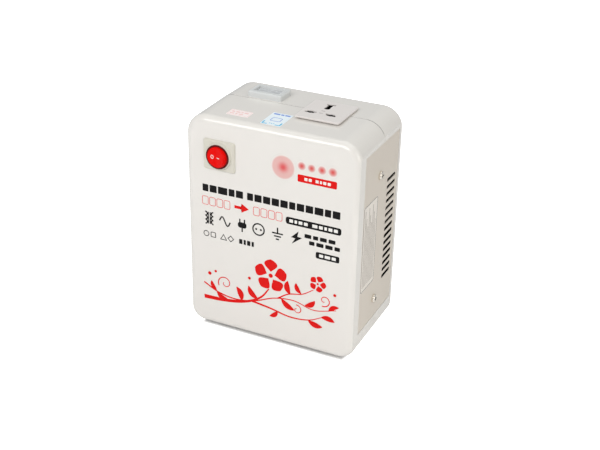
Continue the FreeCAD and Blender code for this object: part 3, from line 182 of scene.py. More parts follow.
def moulded(name, colour, roughness, coat=0.0, drift=0.02, peel_mm=1.4, peel=0.02, specular=0.5,
            inside_shade=None, within_x=1.0, within_z=1.0):
    """A moulded plastic: its tone drifts by a few per cent over a hand's width, and a fine
    three-dimensional noise, its waves peel_mm long, tilts the surface. Where an inside_shade
    colour is given, it is painted shade: it goes on every face that looks back at the case's
    middle and lies nearer the middle than within_x to the side and within_z upward, and stands
    for the shade inside the closed case and in the part of a groove that lies below within_z."""
    material, tree = new_material(name)
    where = add(tree, "TexCoord")
    flow = add(tree, "TexNoise", {"Scale": 1000 / FLOW_MM, "Detail": 2.0}, {"Vector": (where, "Object")})
    low, high = spread(colour, drift)
    tone = add(tree, "Mix", {6: low, 7: high}, {0: (flow, "Fac")}, data_type="RGBA")
    # Painted shade: the inside_shade colour goes on the faces picked below.
    if inside_shade:
        away = add(tree, "VectorMath", {1: CASE_MIDDLE}, {0: (where, "Object")}, operation="SUBTRACT")
        face = add(tree, "NewGeometry")
        out = add(tree, "VectorMath", wires={0: (away, 0), 1: (face, "True Normal")},
                  operation="DOT_PRODUCT")
        shaded_faces = add(tree, "Math", {1: 0.0}, {0: (out, "Value")}, operation="LESS_THAN")
        parts = add(tree, "SeparateXYZ", wires={0: (where, "Object")})
        wide = add(tree, "Math", wires={0: (parts, "X")}, operation="ABSOLUTE")
        for source, limit in (((wide, 0), within_x), ((parts, "Z"), within_z)):
            nearer = add(tree, "Math", {1: limit}, {0: source}, operation="LESS_THAN")
            shaded_faces = add(tree, "Math", wires={0: (shaded_faces, 0), 1: (nearer, 0)}, operation="MULTIPLY")
        tone = add(tree, "Mix", {7: linear(inside_shade)}, {0: (shaded_faces, 0), 6: (tone, 2)}, data_type="RGBA")
    fine = add(tree, "TexNoise", {"Scale": 1000 / peel_mm, "Detail": 2.0}, {"Vector": (where, "Object")})
    bump = add(tree, "Bump", {"Strength": peel, "Distance": PEEL_DEPTH}, {"Height": (fine, "Fac")})
    gloss = add(tree, "MapRange", {"To Min": roughness * 0.9, "To Max": roughness * 1.1},
                {"Value": (flow, "Fac")})
    skin = add(tree, "BsdfPrincipled",
               {"IOR": PLASTIC_IOR, "Specular IOR Level": specular, "Coat Weight": coat,
                "Coat Roughness": 0.06},
               {"Base Color": (tone, 2), "Roughness": (gloss, 0), "Normal": (bump, 0)})
    add(tree, "OutputMaterial", wires={"Surface": (skin, 0)})
    return material


def dress(material, *names):
    """Gives carried-over CAD nodes a material in place of their packed one."""
    for name in names:
        mesh = nodes[name].data
        mesh.materials.clear()
        mesh.materials.append(material)


PEARL = "#e7e3dd"
# The near-black inside_shade on the covers is painted shade: it darkens the inside of the closed case, seen
# through the slots and openings, and the lower part of the seam groove's rear wall, so the seam reads as a
# darker line.
pearl_abs = moulded("pearl_white_abs", PEARL, 0.24, coat=0.6, drift=0.012, peel=0.015, inside_shade="#1d1c1c",
                    within_x=90.2 * MM, within_z=237.85 * MM)
dress(pearl_abs, "front_cover", "rear_cover")

# The side panels are pressed from one-millimetre steel and sprayed in a satin warm grey. Each
# is held by two nickel-plated pan-head screws, which also hold the frame inside.
# The near-black inside_shade on the panels' inner faces is painted shade, so the louvre slots read dark.
satin_paint = moulded("sprayed_satin_paint", "#d8cfc3", 0.42, drift=0.015, peel_mm=0.9, peel=0.05,
                      inside_shade="#0d0c0c")
dress(satin_paint, "right_side_panel", "left_side_panel")


def plated(name, colour, roughness, brushed_mm=0.25, depth=0.05):
    """A plated or rolled metal: a noise stretched along X is its fine drawing lines."""
    material, tree = new_material(name)
    where = add(tree, "TexCoord")
    long = add(tree, "Mapping", {"Scale": (0.08, 1.0, 1.0)}, {"Vector": (where, "Object")})
    lines = add(tree, "TexNoise", {"Scale": 1000 / brushed_mm, "Detail": 2.0}, {"Vector": (long, 0)})
    bump = add(tree, "Bump", {"Strength": depth, "Distance": 0.0001}, {"Height": (lines, "Fac")})
    gloss = add(tree, "MapRange", {"To Min": roughness * 0.8, "To Max": roughness * 1.25},
                {"Value": (lines, "Fac")})
    skin = add(tree, "BsdfPrincipled", {"Base Color": linear(colour), "Metallic": 1.0},
               {"Roughness": (gloss, 0), "Normal": (bump, 0)})
    add(tree, "OutputMaterial", wires={"Surface": (skin, 0)})
    return material


nickel_plate = plated("bright_nickel_plate", "#ece5da", 0.18)
dress(nickel_plate, "side_panel_screws", "cover_screws", "board_screws")


# The print on the case is screen-printed ink, a raised film a few hundredths of a millimetre
# thick, so every mark below is a thin closed slab that stands on its surface.
INK_T = 0.05 * MM
INK_SUNK = 0.02 * MM
OVERPRINT = 0.006          # a shape's step above the one before it, in millimetres
MERGE_DIST = 1e-7          # metres
TINY = 1e-9
CORNER_POINTS = 6          # in a rounded corner
SPAN_POINTS = 14           # in one span of a curve


def grid_skin(points, wrap_u=False):
    """Faces over a grid of points, which is closed along its second axis, and along its first
    as well if it wraps; otherwise each end is closed with one face."""
    n, m = points.shape[:2]
    index = np.arange(n * m).reshape(n, m)
    rows = index if wrap_u else index[:-1]
    after = np.roll(index, -1, axis=0) if wrap_u else index[1:]
    faces = np.stack((rows, np.roll(rows, -1, axis=1), np.roll(after, -1, axis=1), after), axis=-1)
    faces = faces.reshape(-1, 4).tolist()
    if not wrap_u:
        faces += [index[0, ::-1].tolist(), index[-1].tolist()]
    return points.reshape(-1, 3), faces


def ink_levels(count):
    """The bottom and the top of a film of ink, for so many points, in millimetres."""
    return np.full((count, 1), -INK_SUNK / MM), np.full((count, 1), INK_T / MM)


def ribbon(line, width, closed=False):
    """A band along a line in the plane: at each point it reaches half its width to each side,
    along the line's normal there, and its section is a flat slab of ink."""
    line = np.asarray(line, float)
    if closed:
        along = np.roll(line, -1, axis=0) - np.roll(line, 1, axis=0)
    else:
        along = np.gradient(line, axis=0)
    along /= np.maximum(np.linalg.norm(along, axis=1, keepdims=True), TINY)
    out = np.column_stack((-along[:, 1], along[:, 0])) * np.reshape(width, (-1, 1)) / 2
    low, high = ink_levels(len(line))
    section = [np.hstack((line + out, low)), np.hstack((line - out, low)),
               np.hstack((line - out, high)), np.hstack((line + out, high))]
    return grid_skin(np.stack(section, axis=1), wrap_u=closed)


def inlay(outline):
    """A filled shape: its outline is joined to its middle above and below, as one lens of ink."""
    outline = np.asarray(outline, float)
    middle = np.broadcast_to(outline.mean(axis=0), outline.shape)
    low, high = ink_levels(len(outline))
    rings = np.stack((np.hstack((middle, low)), np.hstack((outline, low)),
                      np.hstack((outline, high)), np.hstack((middle, high))))
    return grid_skin(rings)


def smooth_line(points):
    """A Catmull-Rom curve through the points: each span is the cubic whose slope at a point is
    half the step between that point's neighbours."""
    p = np.asarray(points, float)
    p = np.vstack((2 * p[:1] - p[1:2], p, 2 * p[-1:] - p[-2:-1]))
    t = np.linspace(0, 1, SPAN_POINTS, endpoint=False)[:, None, None]
    a, b, c, d = p[:-3], p[1:-2], p[2:-1], p[3:]
    spans = 0.5 * (2 * b + (c - a) * t + (2 * a - 5 * b + 4 * c - d) * t ** 2
                   + (3 * b - a - 3 * c + d) * t ** 3)
    line = spans.transpose(1, 0, 2).reshape(-1, p.shape[1])
    return np.vstack((line, p[-2:-1]))


def rounded(x, y, w, h, r):
    """The outline of a rectangle with its corners turned at a radius, counter-clockwise."""
    turn = np.linspace(0, math.pi / 2, CORNER_POINTS)
    corner = np.column_stack((np.cos(turn), np.sin(turn))) * r
    parts = []
    for k, (sx, sy) in enumerate(((1, 1), (-1, 1), (-1, -1), (1, -1))):
        c, s = round(math.cos(k * math.pi / 2)), round(math.sin(k * math.pi / 2))
        swung = corner @ np.array(((c, s), (-s, c)))
        parts.append(swung + (x + sx * (w / 2 - r), y + sy * (h / 2 - r)))
    return np.vstack(parts)


def disc(x, y, r, count=36):
    """Points round a circle, counter-clockwise."""
    turn = np.linspace(0, 2 * math.pi, count, endpoint=False)
    return np.column_stack((x + r * np.cos(turn), y + r * np.sin(turn)))


# Each printed surface: a point on it, its two directions and the way out of it, in metres.
# What is printed is placed in millimetres, on the front from the middle line and the floor.
low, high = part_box("front_cover")
FRONT = np.array(((0, low[1], 0), (1, 0, 0), (0, 0, 1), (0, -1, 0)), float)
ON_INK = FRONT.copy()
ON_INK[0, 1] -= INK_T
TOP = np.array(((0, 0, high[2]), (1, 0, 0), (0, 1, 0), (0, 0, 1)), float)


def print_on(name, surface, shapes, ink, body="case", crossing=False):
    """Joins flat shapes, given in millimetres on a surface, into one piece that rides a body.
    Shapes that cross are overprinted, each a little above the last."""
    origin, u, v, out = surface
    points, faces, start = [], [], 0
    for k, (flat, quads) in enumerate(shapes):
        points.append(origin + (flat @ np.stack((u, v, out)) + out * OVERPRINT * k * crossing) * MM)
        faces += [[k + start for k in quad] for quad in quads]
        start += len(flat)
    mesh = bpy.data.meshes.new(name)
    mesh.from_pydata(np.vstack(points).tolist(), [], faces)
    shape = bmesh.new()
    shape.from_mesh(mesh)
    bmesh.ops.remove_doubles(shape, verts=shape.verts, dist=MERGE_DIST)
    bmesh.ops.recalc_face_normals(shape, faces=shape.faces)
    shape.to_mesh(mesh)
    shape.free()
    mesh.materials.append(ink)
    piece = bpy.data.objects.new(name, mesh)
    bpy.context.collection.objects.link(piece)
    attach(piece, body)
    return piece


WEAVE_MM = 1.2
INK_SPECULAR = 0.12


def screen_ink(name, colour, roughness=0.35, mottle=0.06):
    """Screen ink: the mesh leaves its tone a little uneven over about a millimetre."""
    material, tree = new_material(name)
    where = add(tree, "TexCoord")
    weave = add(tree, "TexNoise", {"Scale": 1000 / WEAVE_MM, "Detail": 3.0}, {"Vector": (where, "Object")})
    low, high = spread(colour, mottle, lift=0.004)
    tone = add(tree, "Mix", {6: low, 7: high}, {0: (weave, "Fac")}, data_type="RGBA")
    skin = add(tree, "BsdfPrincipled",
               {"Roughness": roughness, "IOR": PLASTIC_IOR, "Specular IOR Level": INK_SPECULAR},
               {"Base Color": (tone, 2)})
    add(tree, "OutputMaterial", wires={"Surface": (skin, 0)})
    return material


black_ink = screen_ink("black_screen_ink", "#0e0c0d")
red_ink = screen_ink("red_screen_ink", "#de0c08")
pale_ink = screen_ink("pale_screen_ink", "#efede8")


# High on the front lies a plain band of bold blocks that rises a little to the right.
def blocks(x0, x1, z0, z1, widths, gap, radius=0.6, tilt=0.0):
    """A row of rounded blocks between two ends, their widths in proportion to a list; a zero
    leaves a wider gap. The row rises by tilt from one end to the other."""
    widths = np.array(widths, float)
    gaps = np.where(widths > 0, gap, 2.0 * gap)
    scale = (x1 - x0 - gaps[:-1].sum()) / widths.sum()
    starts = x0 + np.concatenate(((0,), np.cumsum(widths * scale + gaps)[:-1]))
    middles = starts + widths * scale / 2
    return [inlay(rounded(x, (z0 + z1) / 2 + tilt * (x - x0) / (x1 - x0), w, z1 - z0, radius))
            for x, w in zip(middles, widths * scale) if w > 0]


BAND_WIDTHS = [5, 6, 8, 5, 6, 0, 5, 6, 6, 6, 6, 5, 6, 6, 7, 5, 6]
print_on("title_band", FRONT, blocks(-74.2, 74.4, 157.3, 165.0, BAND_WIDTHS, 1.5, tilt=1.6), black_ink)


# Under it lie two groups of outlined red tiles with an arrow between them.
def frame_line(x, z, w, h, r, stroke):
    """The outline of a rounded rectangle, given by its middle and size, as a line of ink."""
    return ribbon(rounded(x, z, w, h, r), stroke, closed=True)


TILE = (6.6, 9.0, 1.6, 0.55)          # width, height, corner radius, line
ratio = [frame_line(x, 147.3, *TILE) for x in (-71.4, -63.2, -55.0, -46.8)]
ratio += [frame_line(x, 147.6, *TILE) for x in (-14.2, -6.0, 2.2, 10.4)]
arrow = [(-38.5, 145.9), (-30.5, 145.9), (-30.5, 142.6), (-22.5, 147.5), (-30.5, 152.4), (-30.5, 149.1),
         (-38.5, 149.1)]
ratio.append(inlay(arrow))
print_on("ratio_tiles", FRONT, ratio, red_ink)


# Five bold pictograms of common electrical drawing signs: a transformer, a wave, a plug, a
# socket and an earth.
ARC_POINTS = 20


def arc(x, z, r, start, end):
    """Points along part of a circle, its two ends in degrees from the right."""
    turn = np.radians(np.linspace(start, end, ARC_POINTS))
    return np.column_stack((x + r * np.cos(turn), z + r * np.sin(turn)))


SIGN_Z = 128.4             # the row's middle
BOLD, LINE_W = 1.5, 1.1
COIL_R, COIL_STEP = 2.3, 4.4
coils = [arc(x, SIGN_Z + k * COIL_STEP, COIL_R, first, first + 180)
         for x, first in ((-71.8, -90), (-62.6, 90)) for k in (1, 0, -1)]
signs = [ribbon(coil, BOLD) for coil in coils]
signs += [ribbon([(x, SIGN_Z - 6.6), (x, SIGN_Z + 6.6)], LINE_W) for x in (-68.2, -66.2)]
WAVE_X, WAVE_L, WAVE_H = -55.5, 12.0, 4.6
wave_x = np.linspace(WAVE_X, WAVE_X + WAVE_L, 40)
wave_z = SIGN_Z + WAVE_H * np.sin((wave_x - WAVE_X) / WAVE_L * 2 * math.pi)
signs.append(ribbon(np.column_stack((wave_x, wave_z)), BOLD))
PLUG_X, PIN_OFF = -30.0, 2.6
signs.append(inlay(rounded(PLUG_X, SIGN_Z + 0.4, 9.6, 6.2, 2.4)))
signs += [ribbon([(x, SIGN_Z + 3.0), (x, SIGN_Z + 7.0)], BOLD)
          for x in (PLUG_X - PIN_OFF, PLUG_X + PIN_OFF)]
signs.append(ribbon([(PLUG_X, SIGN_Z - 2.2), (PLUG_X, SIGN_Z - 7.0)], BOLD))
RING_X = -11.8
signs.append(ribbon(disc(RING_X, SIGN_Z, 6.2), BOLD, closed=True))
signs += [inlay(disc(x, SIGN_Z, 1.1, 16)) for x in (RING_X - PIN_OFF, RING_X + PIN_OFF)]
EARTH_X = 9.0
signs.append(ribbon([(EARTH_X, SIGN_Z + 7.0), (EARTH_X, SIGN_Z + 0.8)], BOLD))
signs += [ribbon([(EARTH_X - half, SIGN_Z + up), (EARTH_X + half, SIGN_Z + up)], BOLD)
          for half, up in ((6.0, 0.6), (3.9, -2.6), (1.8, -5.8))]
print_on("power_signs", FRONT, signs, black_ink)

# A circle, a square, a triangle, a diamond and a short row of blocks lie below the pictograms.
small = [ribbon(disc(-71.0, 110.4, 2.9), 0.8, closed=True), frame_line(-63.0, 110.4, 5.2, 5.2, 0.5, 0.8),
         ribbon([(-54.6, 107.7), (-47.8, 107.7), (-51.2, 113.4)], 1.5, closed=True),
         ribbon([(-43.0, 107.2), (-39.8, 110.4), (-43.0, 113.6), (-46.2, 110.4)], 1.1, closed=True)]
small += blocks(-33.5, -17.0, 107.6, 113.0, [3, 2, 3, 2], 1.4, radius=0.5)
print_on("small_marks", FRONT, small, black_ink)

# The black plates at the right and the bolt beside them; pale ticks stand in their middles.
plates = [inlay(rounded(46.9, 146.0, 58.4, 7.6, 2.4)), inlay(rounded(62.8, 115.7, 24.8, 7.0, 1.6))]
bolt = [(31.6, 136.6), (23.6, 128.6), (28.2, 128.2), (24.4, 121.6), (35.4, 130.2), (30.4, 130.6)]
plates.append(inlay(bolt))
print_on("black_plates", FRONT, plates, black_ink)
ticks = blocks(21.5, 72.5, 144.3, 147.7, [3, 2, 3, 3, 0, 4, 3, 2, 3, 3], 1.6, radius=0.4)
ticks += blocks(54.0, 71.5, 114.1, 117.3, [3, 4, 3], 1.6, radius=0.4)
print_on("plate_ticks", ON_INK, ticks, pale_ink)
rows = blocks(38.0, 70.5, 131.4, 135.6, [4, 3, 4, 4], 1.9, radius=0.8)
rows += blocks(43.0, 75.4, 124.8, 129.0, [3, 4, 4, 3], 1.9, radius=0.8)
print_on("fine_rows", FRONT, rows, black_ink)


# In the upper right corner stand a plain disc and a row of dots, both in a halftone that fades
# outward, over a small red plate.
def halftone(name, colour, edge, core_end, fade_start):
    """Red ink that thins from the middle (U = 0) to core_end, stays pale, and from fade_start
    to the rim (U = 1) gives way to the cover's own tone."""
    material, tree = new_material(name)
    where = add(tree, "TexCoord")
    split = add(tree, "SeparateXYZ", wires={0: (where, "UV")})
    core = add(tree, "MapRange", {"From Max": core_end, "To Min": 1.0, "To Max": 0.0},
               {"Value": (split, "X")}, interpolation_type="SMOOTHSTEP")
    rim = add(tree, "MapRange", {"From Min": fade_start}, {"Value": (split, "X")},
              interpolation_type="SMOOTHSTEP")
    pale = add(tree, "Mix", {6: linear(edge), 7: linear(PEARL)}, {0: (rim, 0)}, data_type="RGBA")
    tone = add(tree, "Mix", {7: linear(colour)}, {0: (core, 0), 6: (pale, 2)}, data_type="RGBA")
    skin = add(tree, "BsdfPrincipled", {"Roughness": 0.35, "IOR": PLASTIC_IOR, "Specular IOR Level": 0.3},
               {"Base Color": (tone, 2)})
    add(tree, "OutputMaterial", wires={"Surface": (skin, 0)})
    return material


def fading(name, circles, ink):
    """Prints discs (x, z, radius) whose U is the distance from the nearest middle over its radius."""
    mesh = print_on(name, FRONT, [inlay(disc(x, z, r, 60)) for x, z, r in circles], ink).data
    places = np.empty(len(mesh.vertices) * 3)
    mesh.vertices.foreach_get("co", places)
    flat = places.reshape(-1, 1, 3)[:, :, (0, 2)] / MM
    circles = np.array(circles)
    u = (np.linalg.norm(flat - circles[:, :2], axis=2) / circles[:, 2]).min(axis=1)
    corners = np.empty(len(mesh.loops), int)
    mesh.loops.foreach_get("vertex_index", corners)
    fade = np.column_stack((u[corners], np.zeros(len(corners))))
    mesh.uv_layers.new(name="fade").data.foreach_set("uv", fade.ravel())


fading("plain_disc", [(14.1, 200.4, 12.9)], halftone("faded_disc_ink", "#dc5456", "#e3b5b0", 0.62, 0.8))
fading("plain_dots", [(33.4, 205.6, 5.0), (43.6, 205.2, 4.8), (54.2, 205.4, 5.1), (65.2, 205.6, 5.4)],
       halftone("faded_dot_ink", "#d8524e", "#e3bab6", 0.95, 0.5))
print_on("plain_emblem", FRONT, [inlay(rounded(49.6, 192.9, 40.4, 7.6, 1.2))], red_ink)
ticks = blocks(36.5, 63.5, 191.4, 194.4, [3, 3, 0, 3, 2, 3, 3], 1.3, radius=0.4)
print_on("emblem_ticks", ON_INK, ticks, pale_ink)


# A common flowering-branch ornament, printed in red low on the front: one long stem, curled
# tendrils, oval leaves and two five-petalled blossoms.
PETALS = 5
PETAL_ROOT, PETAL_W, EYE_R = 0.24, 0.78, 0.13      # as shares of a blossom's radius
LEAF_POINTS, LEAST_W = 22, 0.05
SPIRAL_POINTS, SPIRAL_FALL, SPIRAL_THINS = 60, 0.8, 0.4


def leaf(root, tip, width, bend, fullness=1.0):
    """A leaf or petal: its midrib is a bow between its root and its tip, and its width follows
    a half sine raised to a power, so it is fullest where that says."""
    root, tip = np.array(root, float), np.array(tip, float)
    t = np.linspace(0.0, 1.0, LEAF_POINTS)
    step = tip - root
    across = np.array((-step[1], step[0]))
    midrib = root + step * t[:, None] + across * (bend * np.sin(math.pi * t))[:, None]
    reach = np.sin(math.pi * t ** fullness) ** 0.8 * width
    return ribbon(midrib, np.maximum(reach, LEAST_W))


def tendril(points, thick, thin):
    """A stem along a smooth curve that thins evenly from its root to its end."""
    line = smooth_line(points)
    return ribbon(line, np.linspace(thick, thin, len(line)))


def curl(x, z, r, start, turns, way, thick):
    """A spiral whose radius falls evenly to a fifth while it turns, and which thins as it goes."""
    t = np.linspace(0, 1, SPIRAL_POINTS)
    turn = math.radians(start) + way * turns * 2 * math.pi * t
    radius = r * (1 - SPIRAL_FALL * t)
    line = np.column_stack((x + radius * np.cos(turn), z + radius * np.sin(turn)))
    return ribbon(line, thick * (1 - SPIRAL_THINS * t))


def blossom(x, z, r, turn):
    """Round petals about a middle, each from a quarter of the radius out to it."""
    shapes = []
    for k in range(PETALS):
        a = math.radians(turn + 360 / PETALS * k)
        way = np.array((math.cos(a), math.sin(a)))
        root, tip = way * r * PETAL_ROOT + (x, z), way * r + (x, z)
        shapes.append(leaf(root, tip, r * PETAL_W, bend=0.0, fullness=1.35))
    return shapes + [inlay(disc(x, z, r * EYE_R, 20))]


STEMS = (([(-75, 53), (-58, 45), (-38, 42), (-16, 46), (6, 55), (28, 58), (50, 53), (74, 59)], 1.7, 0.9),
         ([(-75, 36), (-55, 37), (-35, 40), (-20, 45), (-8, 53), (0, 64)], 4.6, 1.4),
         ([(-20, 45), (2, 42), (24, 38), (44, 40), (59, 47)], 2.4, 0.8),
         ([(10, 56), (22, 64), (37, 68), (49, 76)], 1.6, 0.8))
# Each leaf: its root, its tip, its width and how far it bends.
LEAVES = (((-46, 39), (-60, 45), 5.6, 0.15), ((-31, 42), (-37, 57), 6.6, -0.12),
          ((-60, 47), (-66, 57), 4.6, 0.15), ((-12, 49), (-23, 62), 6.4, 0.15),
          ((14, 57), (29, 47), 6.4, -0.1), ((24, 64), (21, 79), 6.4, 0.15),
          ((40, 56), (51, 64), 5.6, -0.15), ((66, 56), (77, 63), 4.8, 0.15),
          ((44, 40), (60, 36), 6.4, -0.1), ((10, 41), (1, 33), 5.0, 0.15),
          ((58, 47), (73, 45), 5.8, 0.1), ((36, 68), (30, 79), 5.0, 0.15))
BERRIES = ((-68, 65, 2.0), (-61, 69, 1.4), (72, 76, 1.6), (-22, 71, 1.6))
branch = [tendril(*stem) for stem in STEMS]
branch += [curl(-50.0, 57.5, 8.5, -150, 1.15, -1, 1.2), curl(61.0, 67.0, 7.0, -110, 1.1, 1, 1.2),
           curl(31.5, 48.5, 5.6, 100, 1.0, -1, 1.1)]
branch += blossom(2.0, 80.0, 18.5, 90) + blossom(53.5, 84.0, 9.2, 70)
branch += [leaf(*blade) for blade in LEAVES]
branch += [inlay(disc(x, z, r, 16)) for x, z, r in BERRIES]
print_on("branch_ornament", FRONT, branch, red_ink, crossing=True)

# The rocker switch is a snap-in type: a cream bezel with a round collar, a dark red body inside
# it, and a rocker of bright red plastic over a small neon lamp.
cream_nylon = moulded("cream_moulded_nylon", "#d7d3c6", 0.30, coat=0.2, peel_mm=0.8)
black_nylon = moulded("black_glass_filled_nylon", "#17161a", 0.38, peel_mm=0.5, peel=0.06)
red_pc = moulded("bright_red_polycarbonate", "#e80703", 0.3, coat=0.08, drift=0.04, peel=0.0,
                 specular=0.04)
dark_red = moulded("dark_red_nylon", "#5e0b0b", 0.35, peel_mm=0.5, specular=0.2)
dress(cream_nylon, "switch_bezel")
dress(dark_red, "switch_body")
dress(black_nylon, "switch_nut", "rocker_plunger")
dress(red_pc, "rocker")

# The marks are pad-printed in pale ink on the rocker's two hollow faces, and tip with it. Each
# face is part of a cylinder on Z, so a mark's depth is found from that cylinder's circle.
rocker_joint = next(j for j in frame["record"]["behaviour"]["joints"] if j["name"] == "rocker_hinge")
pivot = np.array(rocker_joint["pos_m"]) / MM
HALF_THROW = math.radians(rocker_joint["range_deg"][1] / 2)
CREST = 2.9                # the rocker's middle above its pivot
DISH_R = 60.0              # each hollow face's circle
BALL_R = 10.8              # its round sides


def on_rocker(flat, side):
    """Lays (x, z, height) points on one hollow face: y is the far side of the dish's circle,
    less the height, once the circle's middle has turned with the stored rocker."""
    reach = BALL_R / 2
    sag = DISH_R - math.sqrt(DISH_R ** 2 - reach ** 2)
    middle = np.array((side * reach * math.cos(HALF_THROW), -CREST - reach * math.sin(HALF_THROW)))
    middle += np.array((-side * math.sin(HALF_THROW), -math.cos(HALF_THROW))) * (DISH_R - sag)
    c, s = math.cos(HALF_THROW), -math.sin(HALF_THROW)
    middle = middle @ np.array(((c, s), (-s, c)))
    depth = middle[1] + np.sqrt(DISH_R ** 2 - (flat[:, 0] - middle[0]) ** 2)
    return np.column_stack((flat[:, 0], depth - flat[:, 2], flat[:, 1])) + pivot


ring_mark = ribbon(disc(0.0, 0.0, 1.0, 32) * (1.35, 1.75) + (-5.0, 0.0), 0.62, closed=True)
dash_mark = ribbon([(x, 0.0) for x in np.linspace(0.5, 3.6, 9)], 0.75)
IN_PLACE = np.array(((0, 0, 0), (1, 0, 0), (0, 1, 0), (0, 0, 1)), float)
marks = [(on_rocker(flat, side), faces) for (flat, faces), side in ((ring_mark, -1), (dash_mark, 1))]
print_on("rocker_marks", IN_PLACE, marks, pale_ink, body="rocker")

# Inside the switch: silver-faced brass tabs, the seesaw contact, its spring and the lamp.
tinned_brass = plated("tinned_brass", "#d8c69a", 0.28)
spring_steel = plated("drawn_spring_steel", "#b9bbbd", 0.2)
clear_glass, tree = new_material("neon_lamp_glass")
glow = add(tree, "BsdfPrincipled", {"Base Color": linear("#ffd9c2"), "Roughness": 0.05,
                                    "IOR": PLASTIC_IOR, "Transmission Weight": 0.8})
add(tree, "OutputMaterial", wires={"Surface": (glow, 0)})
dress(tinned_brass, "switch_terminals", "seesaw_contact")
dress(spring_steel, "plunger_spring")
dress(clear_glass, "neon_lamp")

# The socket takes several plug standards. Its faceplate is satin urea resin in a pinkish grey,
# with brass contacts in wells of a dark body below.
urea = moulded("satin_urea_resin", "#e6e0dc", 0.34, peel_mm=0.7, peel=0.03)
dark_urea = moulded("dark_urea_resin", "#141213", 0.6, peel_mm=0.7, peel=0.03, specular=0.2)
strip_brass = plated("stamped_strip_brass", "#d6b069", 0.25)
dress(urea, "socket_faceplate")
dress(dark_urea, "socket_body")
dress(strip_brass, "line_contact", "neutral_contact", "earth_contact")
low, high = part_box("socket_faceplate")
px, py = (low[0] + high[0]) / 2 / MM, (low[1] + high[1]) / 2 / MM
ON_PLATE = TOP.copy()
ON_PLATE[0, 2] = high[2]
TICK_L, TICK_W = 3.8, 0.7
plate_marks = [ribbon([(px + x, py + y), (px + x + TICK_L, py + y)], TICK_W)
               for x, y in ((-4.8, -8.4), (-5.0, -2.0))]
print_on("pole_ticks", ON_PLATE, plate_marks, screen_ink("grey_pad_ink", "#7d7672"))

# The voltmeter is a clip-in module: a pale grey ABS block with a milky acrylic window, and
# behind it a digit module whose seven-bar figures are unlit and look pale.
grey_abs = moulded("pale_grey_abs", "#d9dbda", 0.3, coat=0.25, peel_mm=0.9)
dress(grey_abs, "meter_bezel")
DUST_MM = 4.0
milky, tree = new_material("milky_acrylic")
where = add(tree, "TexCoord")
dust = add(tree, "TexNoise", {"Scale": 1000 / DUST_MM, "Detail": 2.0}, {"Vector": (where, "Object")})
haze = add(tree, "MapRange", {"To Min": 0.04, "To Max": 0.1}, {"Value": (dust, "Fac")})
pane = add(tree, "BsdfPrincipled",
           {"Base Color": linear("#eceef0"), "IOR": 1.49, "Transmission Weight": 0.4},
           {"Roughness": (haze, 0)})
add(tree, "OutputMaterial", wires={"Surface": (pane, 0)})
dress(milky, "meter_window")
module_grey = moulded("digit_module_grey", "#d6d7df", 0.5)
dress(module_grey, "digit_display")
low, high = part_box("digit_display")
ON_DIGITS = TOP.copy()
ON_DIGITS[0, 2] = high[2]
cx, cy = (low[0] + high[0]) / 2 / MM, (low[1] + high[1]) / 2 / MM
DIGIT_PITCH = 7.0
BAR_W, BAR_H, BAR_T = 4.2, 4.0, 0.95
BAR_INSET, BAR_GAP = 0.5, 0.45
LEAN, LOW_LEAN = 0.25, 0.06       # how far a figure's top bars and its middle stand to the right
bars = []
for k in (-1, 0, 1):
    x = cx + DIGIT_PITCH * k
    for z in (-1, 0, 1):
        half, y = BAR_W / 2 - BAR_INSET, cy + z * BAR_H
        bars.append(ribbon([(x + LEAN * z - half, y), (x + LEAN * z + half, y)], BAR_T))
    for sx in (-1, 1):
        for sz in (-1, 1):
            foot = (x + sx * BAR_W / 2 + LOW_LEAN * sz, cy + sz * BAR_GAP)
            head = (x + sx * BAR_W / 2 + LEAN * sz, cy + sz * (BAR_H - BAR_GAP))
            bars.append(ribbon([foot, head], BAR_T))
print_on("digit_bars", ON_DIGITS, bars, pale_ink)

# Stickers: a pink strip and a pale square with blue and cyan bars, both on satin film; the
# rating label on the side is film with a thin dark border and faint rules.
pink_film = screen_ink("pink_satin_film", "#fff2f0", 0.4, mottle=0.03)
white_film = screen_ink("white_satin_film", "#ebf5fa", 0.38, mottle=0.02)
label_film = screen_ink("warm_grey_label_film", "#eae4dc", 0.42, mottle=0.02)
rose_ink = screen_ink("rose_ink", "#f4cdc9")
blue_ink = screen_ink("blue_ink", "#7393dc")
cyan_ink = screen_ink("cyan_ink", "#2fb4dd")
faint_ink = screen_ink("faint_brown_ink", "#8f867b")
dress(pink_film, "long_sticker")
dress(white_film, "square_sticker")
dress(label_film, "rating_label")
low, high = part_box("long_sticker")
x0, x1, y0, y1 = low[0] / MM, high[0] / MM, low[1] / MM, high[1] / MM
FILM_T = 0.15 * MM
slope = math.atan((high[2] - low[2] - FILM_T) / (high[1] - low[1]))
FALLING = np.array((0, math.cos(slope), math.sin(slope)))
ON_FILM = np.array(((0, high[1], high[2]) - FALLING * high[1], (1, 0, 0), FALLING,
                    (0, -math.sin(slope), math.cos(slope))))
rose = [frame_line((x0 + x1) / 2, (y0 + y1) / 2, x1 - x0 - 1.6, y1 - y0 - 1.6, 0.8, 0.4)]
rose += blocks(x0 + 2.4, x1 - 3.0, y0 + 7.4, y0 + 9.8, [3, 4, 2, 4], 1.2, radius=0.4)
rose += blocks(x0 + 2.4, x1 - 7.0, y0 + 3.2, y0 + 5.2, [4, 2, 4], 1.2, radius=0.4)
print_on("pink_sticker_bars", ON_FILM, rose, rose_ink)
low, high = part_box("square_sticker")
x0, x1, y0, y1 = low[0] / MM, high[0] / MM, low[1] / MM, high[1] / MM
blue = blocks(x0 + 2.0, x1 - 2.0, y1 - 4.6, y1 - 2.0, [6, 3, 5], 1.0, radius=0.5)
blue.append(frame_line((x0 + x1) / 2, (y0 + y1) / 2 - 1.0, 10.0, 8.0, 1.6, 0.7))
print_on("square_sticker_blue", ON_FILM, blue, blue_ink)
EDGE, TALL, ARM = 1.6, 7.5, 6.5       # two corner brackets: inset, height, reach inward
